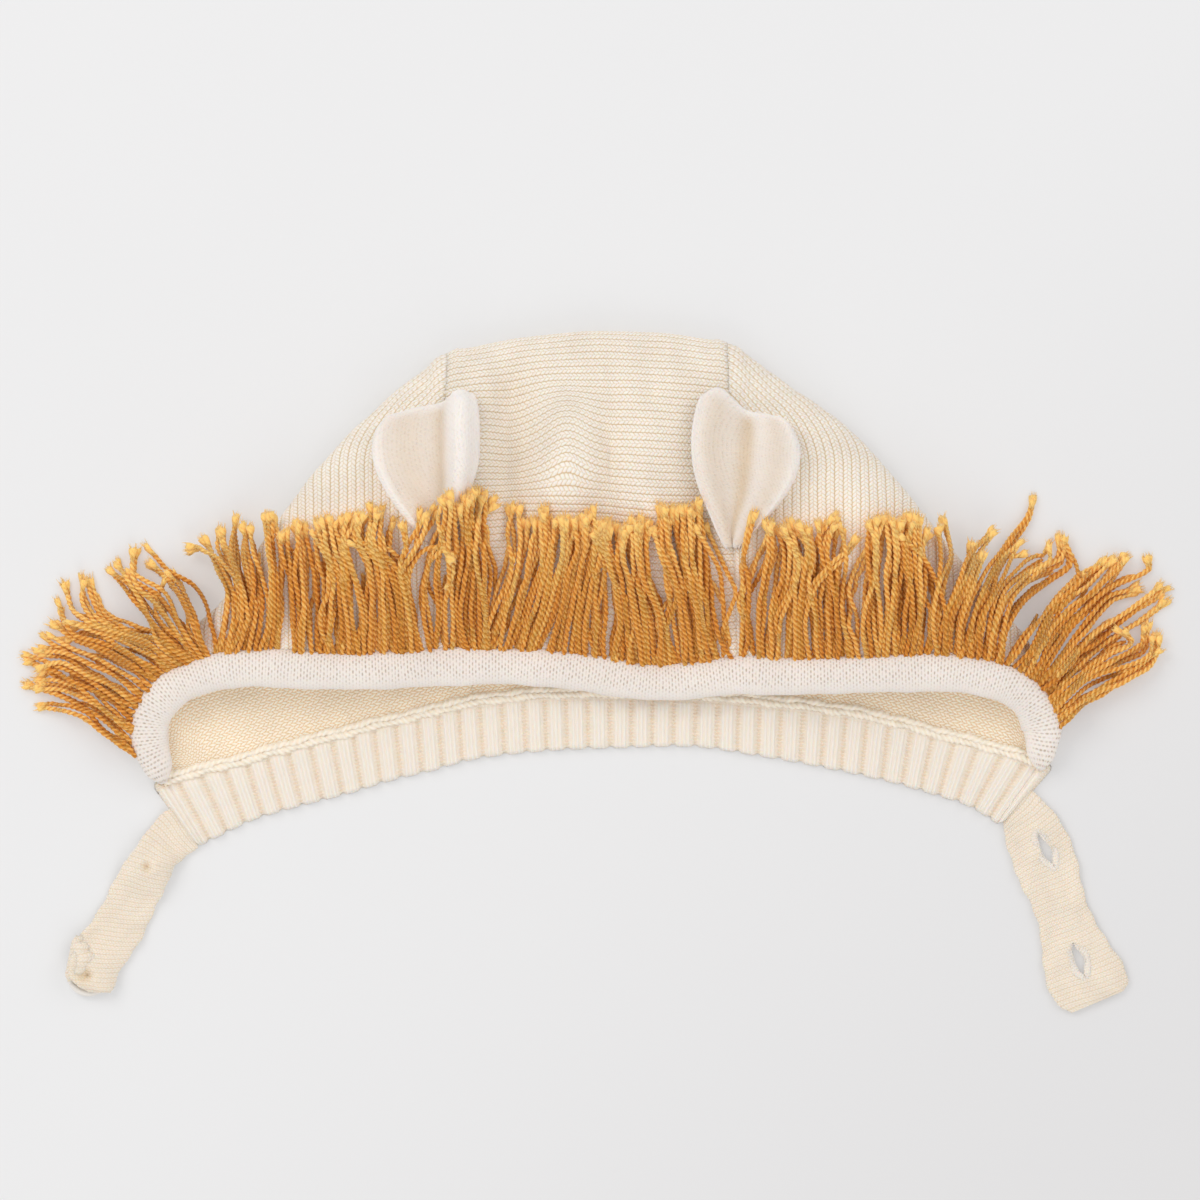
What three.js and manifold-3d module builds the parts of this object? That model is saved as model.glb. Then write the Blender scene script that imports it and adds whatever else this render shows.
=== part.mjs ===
// A knitted baby hat with ears and a yarn fringe, lying flat with its face opening towards -Y.
// Millimetres. X runs to the right along the face opening, Y to the back of the crown, Z up from the table.
import * as THREE from "three";
import Module from "manifold-3d";

const wasm = await Module();
wasm.setup();

const halfWidth = 165; // from the middle to the outer side of the trim
const crownDepth = 111.5; // from the forehead edge to the fold at the back
const faceDrop = 48; // from the forehead edge to the corners of the neckband
const crownHeight = 26; // the crown's highest line over the table
const archRise = 8; // how much higher the face edge stands at each side than in its middle
const gap = 0.3; // clear space between neighbouring pieces
const wall = 2.2; // knitted wall
const foldRadius = 4.5; // rounding of the wall at the back fold
const cornerRadius = 2.4; // the same at the face corners
const trimWidth = 13.2; // rolled trim, flattened
const trimHeight = 9;
const bandGauge = 1.9; // neckband in a furrow between two ribs
const ribHeight = 1.2; // a rib over the furrows
const ribCount = 41;
const seamHeight = 4.6; // joining seam along the neckband's upper edge
const backingRadius = 1.3; // sewn head of the fringe
const lockCount = 46;
const lockLength = 50; // a lock seen from above
const lockWidth = 7.8;
const lockGauge = 3.2;
const earLength = 55; // an ear from its seam to its tip
const earGauge = 4.2;
const strapLength = 71;
const strapGauge = 2.4;
const buttonRadius = 7.8;
const buttonGauge = 3.4;
const holeLength = 13; // buttonholes in the right strap
const holeWidth = 3.6;

const trimRest = seamHeight + gap + 0.2 + trimHeight / 2; // middle of the trim where it lies on the neckband

// Sections of the hat from the left face corner to the right one: the face edge, the fold, the neckband's
// upper edge and its hem. X as a share of halfWidth. Y as a share of crownDepth for the fold and of
// faceDrop for the others. arch is a share of archRise, crest a share of crownHeight.
const sectionColumns = [
  "edgeX", "edgeY", "foldX", "foldY", "neckX", "neckY", "hemX", "hemY", "arch", "crest",
];
const sectionRows = [
  [-0.968, -0.956, -0.972, -0.408, -0.953, -1.007, -0.856, -1.467, -0.3, 0.27],
  [-0.996, -0.719, -0.999, -0.306, -0.92, -0.941, -0.839, -1.422, -0.3, 0.27],
  [-0.994, -0.459, -1.002, -0.185, -0.877, -0.896, -0.808, -1.37, -0.22, 0.28],
  [-0.953, -0.237, -0.972, -0.07, -0.823, -0.852, -0.77, -1.304, 0.15, 0.34],
  [-0.879, -0.081, -0.899, 0.022, -0.759, -0.793, -0.718, -1.23, 0.55, 0.45],
  [-0.765, 0.007, -0.791, 0.159, -0.658, -0.696, -0.625, -1.141, 0.9, 0.62],
  [-0.636, 0.0, -0.673, 0.414, -0.55, -0.6, -0.526, -1.052, 1.0, 0.78],
  [-0.539, -0.015, -0.554, 0.631, -0.457, -0.519, -0.442, -0.963, 0.9, 0.9],
  [-0.442, -0.007, -0.429, 0.806, -0.363, -0.444, -0.352, -0.889, 0.7, 0.97],
  [-0.348, 0.015, -0.315, 0.936, -0.264, -0.363, -0.255, -0.8, 0.42, 1.0],
  [-0.184, 0.022, -0.163, 0.981, -0.109, -0.304, -0.104, -0.741, 0.15, 1.0],
  [-0.023, -0.022, -0.008, 1.0, 0.053, -0.296, 0.053, -0.719, 0.0, 1.0],
  [0.139, -0.096, 0.135, 0.997, 0.214, -0.311, 0.212, -0.711, 0.0, 1.0],
  [0.305, -0.044, 0.281, 0.968, 0.365, -0.356, 0.361, -0.785, 0.2, 1.0],
  [0.408, -0.052, 0.414, 0.828, 0.457, -0.393, 0.449, -0.837, 0.45, 0.97],
  [0.516, -0.044, 0.544, 0.688, 0.559, -0.444, 0.546, -0.904, 0.7, 0.9],
  [0.623, -0.03, 0.651, 0.516, 0.66, -0.526, 0.64, -0.978, 0.9, 0.8],
  [0.731, -0.022, 0.763, 0.309, 0.755, -0.615, 0.722, -1.059, 1.0, 0.66],
  [0.834, -0.059, 0.871, 0.121, 0.836, -0.689, 0.785, -1.126, 0.9, 0.48],
  [0.914, -0.148, 0.935, 0.0, 0.895, -0.741, 0.821, -1.185, 0.5, 0.35],
  [0.97, -0.311, 0.983, -0.108, 0.929, -0.785, 0.845, -1.237, 0.05, 0.28],
  [1.0, -0.556, 1.004, -0.236, 0.955, -0.822, 0.862, -1.274, -0.25, 0.27],
  [0.991, -0.815, 0.996, -0.354, 0.985, -0.87, 0.877, -1.296, -0.3, 0.27],
];
const lastSection = sectionRows.length - 1;
const seamSections = [9, 13]; // the two seams of the centre panel

// Soft dents and ridges of the crown: centre and reach as shares of halfWidth and crownDepth, rise in mm.
const dentColumns = ["x", "y", "reachX", "reachY", "rise"];
const dentRows = [
  [-0.175, 0.6, 0.07, 0.22, -3.2],
  [-0.065, 0.62, 0.045, 0.3, 2.6],
  [0.0, 0.52, 0.04, 0.16, -1.8],
  [0.1, 0.46, 0.07, 0.16, 2.2],
  [0.62, 0.28, 0.08, 0.12, -2.0],
  [-0.6, 0.24, 0.08, 0.12, -1.6],
];

// Fringe along its root: share of the face edge, heading in degrees from +X, reach as a share of lockLength.
const fringeColumns = ["along", "heading", "reach"];
const fringeRows = [
  [0.025, 156, 0.76],
  [0.045, 144, 0.94],
  [0.068, 128, 0.93],
  [0.094, 110, 0.93],
  [0.135, 103, 0.74],
  [0.178, 96, 0.87],
  [0.245, 91, 0.9],
  [0.312, 91, 0.97],
  [0.386, 90, 1.05],
  [0.45, 91, 0.98],
  [0.515, 90, 0.94],
  [0.585, 89, 1.07],
  [0.64, 87, 0.98],
  [0.7, 88, 0.92],
  [0.76, 88, 0.88],
  [0.81, 85, 0.9],
  [0.85, 79, 0.86],
  [0.895, 73, 0.93],
  [0.932, 60, 1.15],
  [0.953, 50, 1.17],
  [0.967, 42, 0.9],
];

// Ears from tip to seam: left edge, crease and right edge as shares of earLength from the middle of the
// seam, rise of the two edges over the crease in mm.
const earColumns = ["leftX", "leftY", "creaseX", "creaseY", "rightX", "rightY", "leftRise", "rightRise"];
const leftEarRows = [
  [-0.142, 0.871, 0.071, 0.916, 0.213, 1.0, 2, 5],
  [-0.297, 0.806, 0.071, 0.852, 0.29, 0.923, 3, 6.5],
  [-0.381, 0.697, 0.065, 0.71, 0.29, 0.748, 3, 7.5],
  [-0.387, 0.542, 0.058, 0.542, 0.265, 0.555, 2.5, 7],
  [-0.316, 0.355, 0.045, 0.348, 0.219, 0.374, 2, 6],
  [-0.181, 0.174, 0.026, 0.155, 0.142, 0.187, 1.5, 4],
  [-0.052, 0.052, 0.0, 0.006, 0.065, 0.039, 0.5, 1],
];
const rightEarRows = [
  [-0.116, 1.019, 0.09, 0.884, 0.219, 0.852, 4, 2],
  [-0.2, 0.961, 0.084, 0.845, 0.361, 0.781, 5, 3],
  [-0.258, 0.794, 0.065, 0.735, 0.432, 0.645, 6, 3],
  [-0.245, 0.594, 0.045, 0.574, 0.413, 0.503, 6, 2.5],
  [-0.206, 0.387, 0.019, 0.368, 0.335, 0.342, 5, 2],
  [-0.142, 0.206, -0.006, 0.181, 0.2, 0.168, 3, 1.5],
  [-0.065, 0.052, -0.006, 0.006, 0.097, 0.045, 1, 0.5],
];

// Straps from the neckband outwards: the two edges as shares of strapLength from the strap's root, height
// of the underside as a share of the buttons' height, rise of the left edge in mm where it curls up.
const strapColumns = ["leftX", "leftY", "rightX", "rightY", "lift", "curl"];
const leftStrapRows = [
  [-0.033, 0.094, 0.102, -0.092, 0, 0],
  [-0.09, 0.055, 0.07, -0.12, 0.16, 0],
  [-0.145, -0.02, 0.035, -0.145, 1, 0],
  [-0.22, -0.125, -0.01, -0.195, 1, 0],
  [-0.29, -0.23, -0.05, -0.29, 1, 0],
  [-0.35, -0.35, -0.095, -0.375, 0.55, 0],
  [-0.41, -0.45, -0.135, -0.465, 0.27, 0.4],
  [-0.475, -0.535, -0.18, -0.56, 0.65, 2],
  [-0.505, -0.63, -0.235, -0.64, 1, 3.4],
  [-0.53, -0.705, -0.285, -0.72, 1, 2.6],
  [-0.485, -0.775, -0.31, -0.79, 1, 0.6],
  [-0.43, -0.81, -0.325, -0.815, 1, 0],
];
const rightStrapRows = [
  [-0.09, -0.077, 0.052, 0.088, 0, 0],
  [-0.085, -0.14, 0.13, 0.02, 0, 0],
  [-0.05, -0.255, 0.21, -0.095, 0, 0],
  [-0.01, -0.365, 0.265, -0.225, 0, 0],
  [0.05, -0.48, 0.295, -0.37, 0, 0],
  [0.09, -0.61, 0.335, -0.5, 0, 0],
  [0.105, -0.76, 0.41, -0.635, 0, 0],
  [0.13, -0.89, 0.495, -0.76, 0, 0],
  [0.18, -0.97, 0.525, -0.85, 0, 0],
  [0.25, -1.01, 0.5, -0.905, 0, 0],
];
const strapRoots = { left: [-0.903, -1.326], right: [0.918, -1.185] }; // shares of halfWidth and faceDrop
const earRoots = { left: [-0.348, 0.331], right: [0.294, 0.325] }; // shares of halfWidth and crownDepth
const holePlaces = [
  { x: 0.115, y: -0.195, turn: 27 }, // shares of strapLength, degrees from the Y axis
  { x: 0.28, y: -0.745, turn: 20 },
];
const buttonPlaces = { button_upper: [-0.14, -0.185], button_lower: [-0.435, -0.725] };

const mix = (a, b, t) => a + (b - a) * t;
const clamp = (value, low, high) => Math.min(Math.max(value, low), high);
const ease = (t) => clamp(t, 0, 1) ** 2 * (3 - 2 * clamp(t, 0, 1));
const scatter = (seed) => Math.abs(Math.sin(seed * 12.9898 + 4.1) * 43758.5453) % 1;
const steps = (from, to, count) => Array.from({ length: count + 1 }, (_, i) => mix(from, to, i / count));
const named = (columns, row) => Object.fromEntries(columns.map((name, i) => [name, row[i]]));

// Smooth value of a table's column between whole rows, with the rows outside low and high left out.
function smoothValue(rows, column, u, low, high) {
  const i = clamp(Math.floor(u), low, high - 1);
  const t = u - i;
  const at = (k) => {
    if (k < low) return 2 * rows[low][column] - rows[low + 1][column];
    if (k > high) return 2 * rows[high][column] - rows[high - 1][column];
    return rows[k][column];
  };
  const [a, b, c, d] = [at(i - 1), at(i), at(i + 1), at(i + 2)];
  return b + 0.5 * t * (c - a + t * (2 * a - 5 * b + 4 * c - d + t * (3 * (b - c) + d - a)));
}

// The section at u, in millimetres. The back fold keeps its corners at the two seams.
function sectionAt(u) {
  const [first, second] = seamSections;
  const low = u < first ? 0 : u < second ? first : second;
  const high = u < first ? first : u < second ? second : lastSection;
  const read = (name) => {
    const column = sectionColumns.indexOf(name);
    if (name.startsWith("fold")) return smoothValue(sectionRows, column, u, low, high);
    return smoothValue(sectionRows, column, u, 0, lastSection);
  };
  return {
    edge: new THREE.Vector2(read("edgeX") * halfWidth, read("edgeY") * faceDrop),
    fold: new THREE.Vector2(read("foldX") * halfWidth, read("foldY") * crownDepth),
    neck: new THREE.Vector2(read("neckX") * halfWidth, read("neckY") * faceDrop),
    hem: new THREE.Vector2(read("hemX") * halfWidth, read("hemY") * faceDrop),
    edgeHeight: trimRest + read("arch") * archRise,
    crestHeight: read("crest") * crownHeight,
  };
}

// Middle surface of the knitted wall. v runs from the face edge at 0 to the fold at 1, round the fold to
// 2 and along the table to the neckband at 3.
function middlePoint(u, v) {
  const { edge, fold, neck, edgeHeight, crestHeight } = sectionAt(u);
  const away = fold.distanceTo(neck);
  const radius = mix(cornerRadius, foldRadius, ease((away - 8) / 40));
  const noseHeight = wall / 2 + radius;
  if (v <= 1) {
    const s = 1 - (1 - v) ** 2;
    const at = edge.clone().lerp(fold, s);
    const body = mix(edgeHeight, crestHeight, ease(s / 0.5));
    const dent = dentRows
      .map((row) => named(dentColumns, row))
      .map((d) => {
        const dx = (at.x / halfWidth - d.x) / d.reachX;
        const dy = (at.y / crownDepth - d.y) / d.reachY;
        return d.rise * Math.exp(-dx * dx - dy * dy);
      })
      .reduce((sum, rise) => sum + rise, 0);
    const height = noseHeight + (body - noseHeight) * Math.sqrt(1 - s ** 3);
    return new THREE.Vector3(at.x, at.y, height + dent * ease(s / 0.15) * ease((1 - s) / 0.2));
  }
  if (v <= 2) {
    const angle = (v - 1) * (Math.PI / 2);
    const at = fold.clone().lerp(neck, (radius * (1 - Math.cos(angle))) / away);
    return new THREE.Vector3(at.x, at.y, noseHeight - radius * Math.sin(angle));
  }
  const at = fold.clone().lerp(neck, mix(radius / away, 1 - gap / 2 / away, v - 2));
  return new THREE.Vector3(at.x, at.y, wall / 2);
}

// Unit vector out of the wall at a point of the middle surface.
function wallNormal(u, v) {
  const along = middlePoint(Math.min(u + 0.05, lastSection), v).sub(middlePoint(Math.max(u - 0.05, 0), v));
  const across = middlePoint(u, Math.min(v + 0.02, 3)).sub(middlePoint(u, Math.max(v - 0.02, 0)));
  return along.cross(across).normalize();
}

function wallPoint(u, v, distance) {
  return middlePoint(u, v).addScaledVector(wallNormal(u, v), distance);
}

// Height of the highest of the given pieces at a place seen from above, or 0 beside them.
function heightOver(pieces, x, y) {
  const down = new THREE.Raycaster(new THREE.Vector3(x, y, 500), new THREE.Vector3(0, 0, -1));
  const hits = down.intersectObjects(pieces);
  return hits.length ? hits[0].point.z : 0;
}

function solidMesh(positions, index) {
  const geometry = new THREE.BufferGeometry();
  geometry.setAttribute("position", new THREE.Float32BufferAttribute(positions, 3));
  geometry.setIndex(index);
  return geometry;
}

const flatten = (points) => points.flatMap((p) => [p.x, p.y, p.z]);

// A closed body between two grids of points with the same rows and columns.
function sheetBody(outer, inner) {
  const rows = outer.length;
  const columns = outer[0].length;
  const shift = rows * columns;
  const index = [];
  const quad = (a, b, c, d) => index.push(a, b, c, a, c, d);
  for (let i = 0; i < rows - 1; i++) {
    for (let j = 0; j < columns - 1; j++) {
      const a = i * columns + j;
      quad(a, a + columns, a + columns + 1, a + 1);
      quad(a + shift, a + shift + 1, a + shift + columns + 1, a + shift + columns);
    }
    const near = i * columns;
    const far = near + columns - 1;
    quad(near, near + shift, near + shift + columns, near + columns);
    quad(far, far + columns, far + columns + shift, far + shift);
  }
  for (let j = 0; j < columns - 1; j++) {
    const end = (rows - 1) * columns + j;
    quad(j, j + 1, j + 1 + shift, j + shift);
    quad(end, end + shift, end + shift + 1, end + 1);
  }
  return solidMesh(flatten([...outer.flat(), ...inner.flat()]), index);
}

// A closed body through rings of points, closed by caps of the given flat outline.
function loftBody(rings, outline) {
  const count = outline.length;
  const last = (rings.length - 1) * count;
  const index = [];
  for (let i = 0; i < rings.length - 1; i++) {
    for (let j = 0; j < count; j++) {
      const a = i * count + j;
      const b = i * count + ((j + 1) % count);
      index.push(a, b, b + count, a, b + count, a + count);
    }
  }
  for (const [a, b, c] of THREE.ShapeUtils.triangulateShape(outline, [])) {
    index.push(a, c, b, last + a, last + b, last + c);
  }
  return solidMesh(flatten(rings.flat()), index);
}

const oval = (width, height, count) =>
  steps(0, 2 * Math.PI, count)
    .slice(0, count)
    .map((angle) => new THREE.Vector2((width / 2) * Math.cos(angle), (height / 2) * Math.sin(angle)));

// Points of a flat outline set up across a path: its x along side, its y upwards.
const placed = (outline, at, side) =>
  outline.map((p) => new THREE.Vector3(at.x + side.x * p.x, at.y + side.y * p.x, at.z + p.y));

function toManifold(geometry) {
  return new wasm.Manifold(
    new wasm.Mesh({
      numProp: 3,
      vertProperties: geometry.getAttribute("position").array,
      triVerts: new Uint32Array(geometry.index.array),
    }),
  );
}

function fromManifold(solid) {
  const mesh = solid.getMesh();
  return solidMesh(Array.from(mesh.vertProperties), Array.from(mesh.triVerts));
}

function makePanel(from, to, count) {
  const speed = (u) => sectionAt(u + 0.02).edge.distanceTo(sectionAt(u - 0.02).edge) / 0.04;
  const inset = (u) => gap / 2 / speed(u);
  const start = from > 0 ? from + inset(from + 0.1) : from;
  const end = to < lastSection ? to - inset(to - 0.1) : to;
  const stations = [...steps(0, 1, 11), ...steps(1, 2, 4).slice(1), ...steps(2, 3, 3).slice(1)];
  const grid = (distance) =>
    steps(start, end, count).map((u) => stations.map((v) => wallPoint(u, v, distance)));
  return sheetBody(grid(wall / 2), grid(-wall / 2));
}

// Unit vector in the plane out of the face opening, square to the face edge.
function outwardAt(u) {
  const along = sectionAt(Math.min(u + 0.1, lastSection)).edge.sub(sectionAt(Math.max(u - 0.1, 0)).edge);
  return new THREE.Vector2(-along.y, along.x).normalize();
}

// The rolled trim follows the face edge; where the wall stands up beside it, it keeps clear of its face.
function makeTrim() {
  const outline = oval(trimWidth, trimHeight, 10);
  const rings = steps(0, lastSection, 44).map((u) => {
    const { edge, edgeHeight } = sectionAt(u);
    const outward = outwardAt(u);
    const facing = Math.max(0, wallNormal(u, 0.02).dot(new THREE.Vector3(outward.x, outward.y, 0)));
    const clear = trimWidth / 2 + gap + 0.3 + (facing * wall) / 2;
    const at = new THREE.Vector3(edge.x - outward.x * clear, edge.y - outward.y * clear, edgeHeight);
    return placed(outline, at, outward);
  });
  return loftBody(rings, outline);
}

// The section number at a share of the length of a line given by sections.
function evenAlong(line) {
  const fine = steps(0, lastSection, 220);
  const points = fine.map(line);
  const lengths = [0];
  for (let i = 1; i < fine.length; i++) lengths.push(lengths[i - 1] + points[i].distanceTo(points[i - 1]));
  return (share) => {
    const length = share * lengths[lengths.length - 1];
    const i = clamp(lengths.findIndex((value) => value >= length), 1, fine.length - 1);
    return mix(fine[i - 1], fine[i], clamp((length - lengths[i - 1]) / (lengths[i] - lengths[i - 1]), 0, 1));
  };
}

// The ribbed neckband: ribs run across it, a raised seam along its upper edge.
function makeNeckband() {
  const bandOutline = (length, top) => [
    [0, 0],
    [length, 0],
    [length, top - 0.8],
    [length - 0.9, top],
    [3, top],
    [1.4, seamHeight],
    [0, seamHeight - 1.4],
  ].map(([x, y]) => new THREE.Vector2(x, y));
  const outline = bandOutline(faceDrop / 2, bandGauge);
  const sectionOf = evenAlong((u) => sectionAt(u).neck.clone().lerp(sectionAt(u).hem, 0.5));
  const rings = steps(1, 0, ribCount * 3 + 1).map((share, i) => {
    const { neck, hem } = sectionAt(sectionOf(share));
    const top = bandGauge + [0, 1, 1][i % 3] * ribHeight;
    const side = hem.clone().sub(neck);
    const ring = bandOutline(side.length() - gap, top);
    const at = neck.clone().lerp(hem, gap / 2 / side.length());
    return placed(ring, new THREE.Vector3(at.x, at.y, 0), side.normalize());
  });
  return loftBody(rings, outline);
}

// Head of the fringe: a cord sewn on the wall just behind the trim.
function backingPoint(u) {
  const { edge, fold } = sectionAt(u);
  const share = Math.min(0.3, 1.1 / edge.distanceTo(fold));
  return wallPoint(u, 1 - Math.sqrt(1 - share), wall / 2 + gap + 0.25 + backingRadius);
}

// A lock of yarn laid from its root over the pieces under it, then down to the table.
function makeLock(beds, root, heading, reach, seed) {
  const points = [root.clone().setZ(root.z + 0.4)];
  const bend = (scatter(seed) - 0.5) * 9;
  const parts = 4;
  for (let i = 1; i <= parts; i++) {
    const angle = ((heading + bend * (i / parts - 0.4)) * Math.PI) / 180;
    const step = reach / parts;
    const before = points[i - 1];
    const x = before.x + Math.cos(angle) * step;
    const y = before.y + Math.sin(angle) * step;
    const under = [-3, 0, 3].flatMap((side) =>
      [-0.5, 0, 0.5].map((back) => {
        const px = x - Math.sin(angle) * side + Math.cos(angle) * back * step;
        return heightOver(beds, px, y + Math.cos(angle) * side + Math.sin(angle) * back * step);
      }),
    );
    const rest = Math.max(...under) + gap + lockGauge / 2 + 0.3;
    points.push(new THREE.Vector3(x, y, Math.max(rest, before.z - 0.75 * step)));
  }
  const widths = [0.75, 1, 1, 0.9, 0.6];
  const rings = points.map((point, i) => {
    const to = points[Math.min(i + 1, parts)];
    const from = points[Math.max(i - 1, 0)];
    const side = new THREE.Vector2(-(to.y - from.y), to.x - from.x).normalize();
    return placed(oval(lockWidth * widths[i], lockGauge * (i < parts ? 1 : 0.7), 6), point, side);
  });
  return toManifold(loftBody(rings, oval(lockWidth, lockGauge, 6)));
}

function makeFringe(beds) {
  const first = fringeRows[0][0];
  const last = fringeRows[fringeRows.length - 1][0];
  const sectionOf = evenAlong((u) => sectionAt(u).edge);
  const outline = oval(backingRadius * 2, backingRadius * 2, 6);
  const cord = steps(first, last, 52).map((share) => {
    const u = sectionOf(share);
    return placed(outline, backingPoint(u), outwardAt(u));
  });
  const parts = [toManifold(loftBody(cord, outline))];
  for (let k = 0; k < lockCount; k++) {
    const share = mix(first, last, (k + 0.5) / lockCount);
    const row = clamp(fringeRows.findIndex((r) => r[0] >= share), 1, fringeRows.length - 1);
    const t = (share - fringeRows[row - 1][0]) / (fringeRows[row][0] - fringeRows[row - 1][0]);
    const heading = mix(fringeRows[row - 1][1], fringeRows[row][1], t) + (scatter(k + 0.3) - 0.5) * 4;
    const reach = mix(fringeRows[row - 1][2], fringeRows[row][2], t) * lockLength;
    const cut = reach * (0.94 + 0.1 * scatter(k));
    parts.push(makeLock(beds, backingPoint(sectionOf(share)), heading, cut, k));
  }
  return fromManifold(wasm.Manifold.union(parts));
}

// A padded ear folded along its middle: two lobes over a crease that lies on the crown.
function makeEar(beds, rows, root) {
  const base = new THREE.Vector2(root[0] * halfWidth, root[1] * crownDepth);
  const rings = rows.map((values, i) => {
    const row = named(earColumns, values);
    const place = (x, y) => new THREE.Vector2(base.x + x * earLength, base.y + y * earLength);
    const left = place(row.leftX, row.leftY);
    const crease = place(row.creaseX, row.creaseY);
    const right = place(row.rightX, row.rightY);
    const off = 3 * ease((rows.length - 1 - i) / (rows.length - 1));
    const below = (p, rise) =>
      new THREE.Vector3(p.x, p.y, heightOver(beds, p.x, p.y) + gap + 0.25 + off + rise);
    const halves = [
      below(left, row.leftRise + 0.8),
      below(left.clone().lerp(crease, 0.5), row.leftRise * 0.55),
      below(crease, 0),
      below(crease.clone().lerp(right, 0.5), row.rightRise * 0.45),
      below(right, row.rightRise + 0.8),
    ];
    const gauge = [0.45, 1, 0.75, 1, 0.45].map((share) => share * earGauge * (i === 0 ? 0.6 : 1));
    const above = halves.map((p, k) => p.clone().setZ(p.z + gauge[k]));
    return [...halves, ...above.reverse()];
  });
  const outline = [
    ...[-2, -1, 0, 1, 2].map((x) => new THREE.Vector2(x, x * x * 0.1)),
    ...[2, 1, 0, -1, -2].map((x) => new THREE.Vector2(x, x * x * 0.1 + 1)),
  ];
  return loftBody(rings, outline);
}

function makeStrap(rows, root) {
  const base = new THREE.Vector2(root[0] * halfWidth, root[1] * faceDrop);
  const shares = [0, 0.12, 0.3, 0.65, 1];
  const curls = [1, 0.55, 0.1, 0, 0];
  const rings = steps(0, rows.length - 1, (rows.length - 1) * 2).map((u) => {
    const read = (name) => smoothValue(rows, strapColumns.indexOf(name), u, 0, rows.length - 1);
    const left = new THREE.Vector2(base.x + read("leftX") * strapLength, base.y + read("leftY") * strapLength);
    const right = new THREE.Vector2(base.x + read("rightX") * strapLength, base.y + read("rightY") * strapLength);
    const under = shares.map((share, k) => {
      const at = left.clone().lerp(right, share);
      const height = Math.max(0, read("lift")) * (buttonGauge + gap + 0.1) + Math.max(0, read("curl")) * curls[k];
      return new THREE.Vector3(at.x, at.y, height);
    });
    const over = under.map((p) => p.clone().setZ(p.z + strapGauge));
    return [...under, ...over.reverse()];
  });
  const outline = [
    ...shares.map((x) => new THREE.Vector2(x, 0)),
    ...[...shares].reverse().map((x) => new THREE.Vector2(x, 0.1)),
  ];
  return loftBody(rings, outline);
}

// A buttonhole: a slot with pointed ends, cut right through.
function cutHoles(geometry, root) {
  const solid = toManifold(geometry);
  const cuts = holePlaces.map(({ x, y, turn }) => {
    const half = holeLength / 2;
    const side = holeWidth / 2;
    const outline = [[0, -half], [side, -half * 0.45], [side, half * 0.45], [0, half], [-side, half * 0.45],
      [-side, -half * 0.45]];
    return wasm.CrossSection.ofPolygons([outline])
      .extrude(strapGauge * 4, 0, 0, [1, 1], true)
      .rotate([0, 0, turn])
      .translate([root[0] * halfWidth + x * strapLength, root[1] * faceDrop + y * strapLength, 0]);
  });
  return fromManifold(solid.subtract(wasm.Manifold.union(cuts)));
}

function makeButton(place, root) {
  const profile = [
    [0, 0],
    [buttonRadius * 0.86, 0],
    [buttonRadius, buttonGauge * 0.35],
    [buttonRadius, buttonGauge * 0.7],
    [buttonRadius * 0.88, buttonGauge],
    [0, buttonGauge],
  ].map(([x, y]) => new THREE.Vector2(x, y));
  const geometry = new THREE.LatheGeometry(profile, 20);
  geometry.rotateX(Math.PI / 2);
  const x = root[0] * halfWidth + place[0] * strapLength;
  const y = root[1] * faceDrop + place[1] * strapLength;
  geometry.translate(x, y, 0);
  return geometry;
}

const hat = new THREE.Group();

function addPiece(name, geometry, color, roughness) {
  const mesh = new THREE.Mesh(geometry, new THREE.MeshStandardMaterial({ color, roughness, metalness: 0 }));
  mesh.name = name;
  hat.add(mesh);
  return mesh;
}

const creamKnit = 0xf3e9d6;
const whiteKnit = 0xf1eeea;
const [firstSeam, secondSeam] = seamSections;
const crown = [
  addPiece("centre_panel", makePanel(firstSeam, secondSeam, 12), creamKnit, 0.95),
  addPiece("side_panel_left", makePanel(0, firstSeam, 17), creamKnit, 0.95),
  addPiece("side_panel_right", makePanel(secondSeam, lastSection, 17), creamKnit, 0.95),
];
const ears = [
  addPiece("ear_left", makeEar(crown, leftEarRows, earRoots.left), whiteKnit, 0.9),
  addPiece("ear_right", makeEar(crown, rightEarRows, earRoots.right), whiteKnit, 0.9),
];
addPiece("face_trim", makeTrim(), whiteKnit, 0.9);
addPiece("neckband", makeNeckband(), creamKnit, 0.95);
addPiece("fringe", makeFringe([...crown, ...ears]), 0xcf9443, 0.9);
addPiece("strap_left", makeStrap(leftStrapRows, strapRoots.left), creamKnit, 0.95);
const plainStrap = makeStrap(rightStrapRows, strapRoots.right);
addPiece("strap_right", cutHoles(plainStrap, strapRoots.right), creamKnit, 0.95);
for (const [name, place] of Object.entries(buttonPlaces)) {
  addPiece(name, makeButton(place, strapRoots.left), 0xf4f2ee, 0.35);
}

// The middle of the hat's box comes over the origin, its underside on Z = 0.
const bounds = new THREE.Box3().setFromObject(hat, true);
const middle = bounds.getCenter(new THREE.Vector3());
for (const mesh of hat.children) mesh.geometry.translate(-middle.x, -middle.y, -bounds.min.z);

export default hat;
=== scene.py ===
# A knitted baby hat with ears, a yarn fringe and chin straps, laid flat with its face opening to the front.
import math

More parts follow.
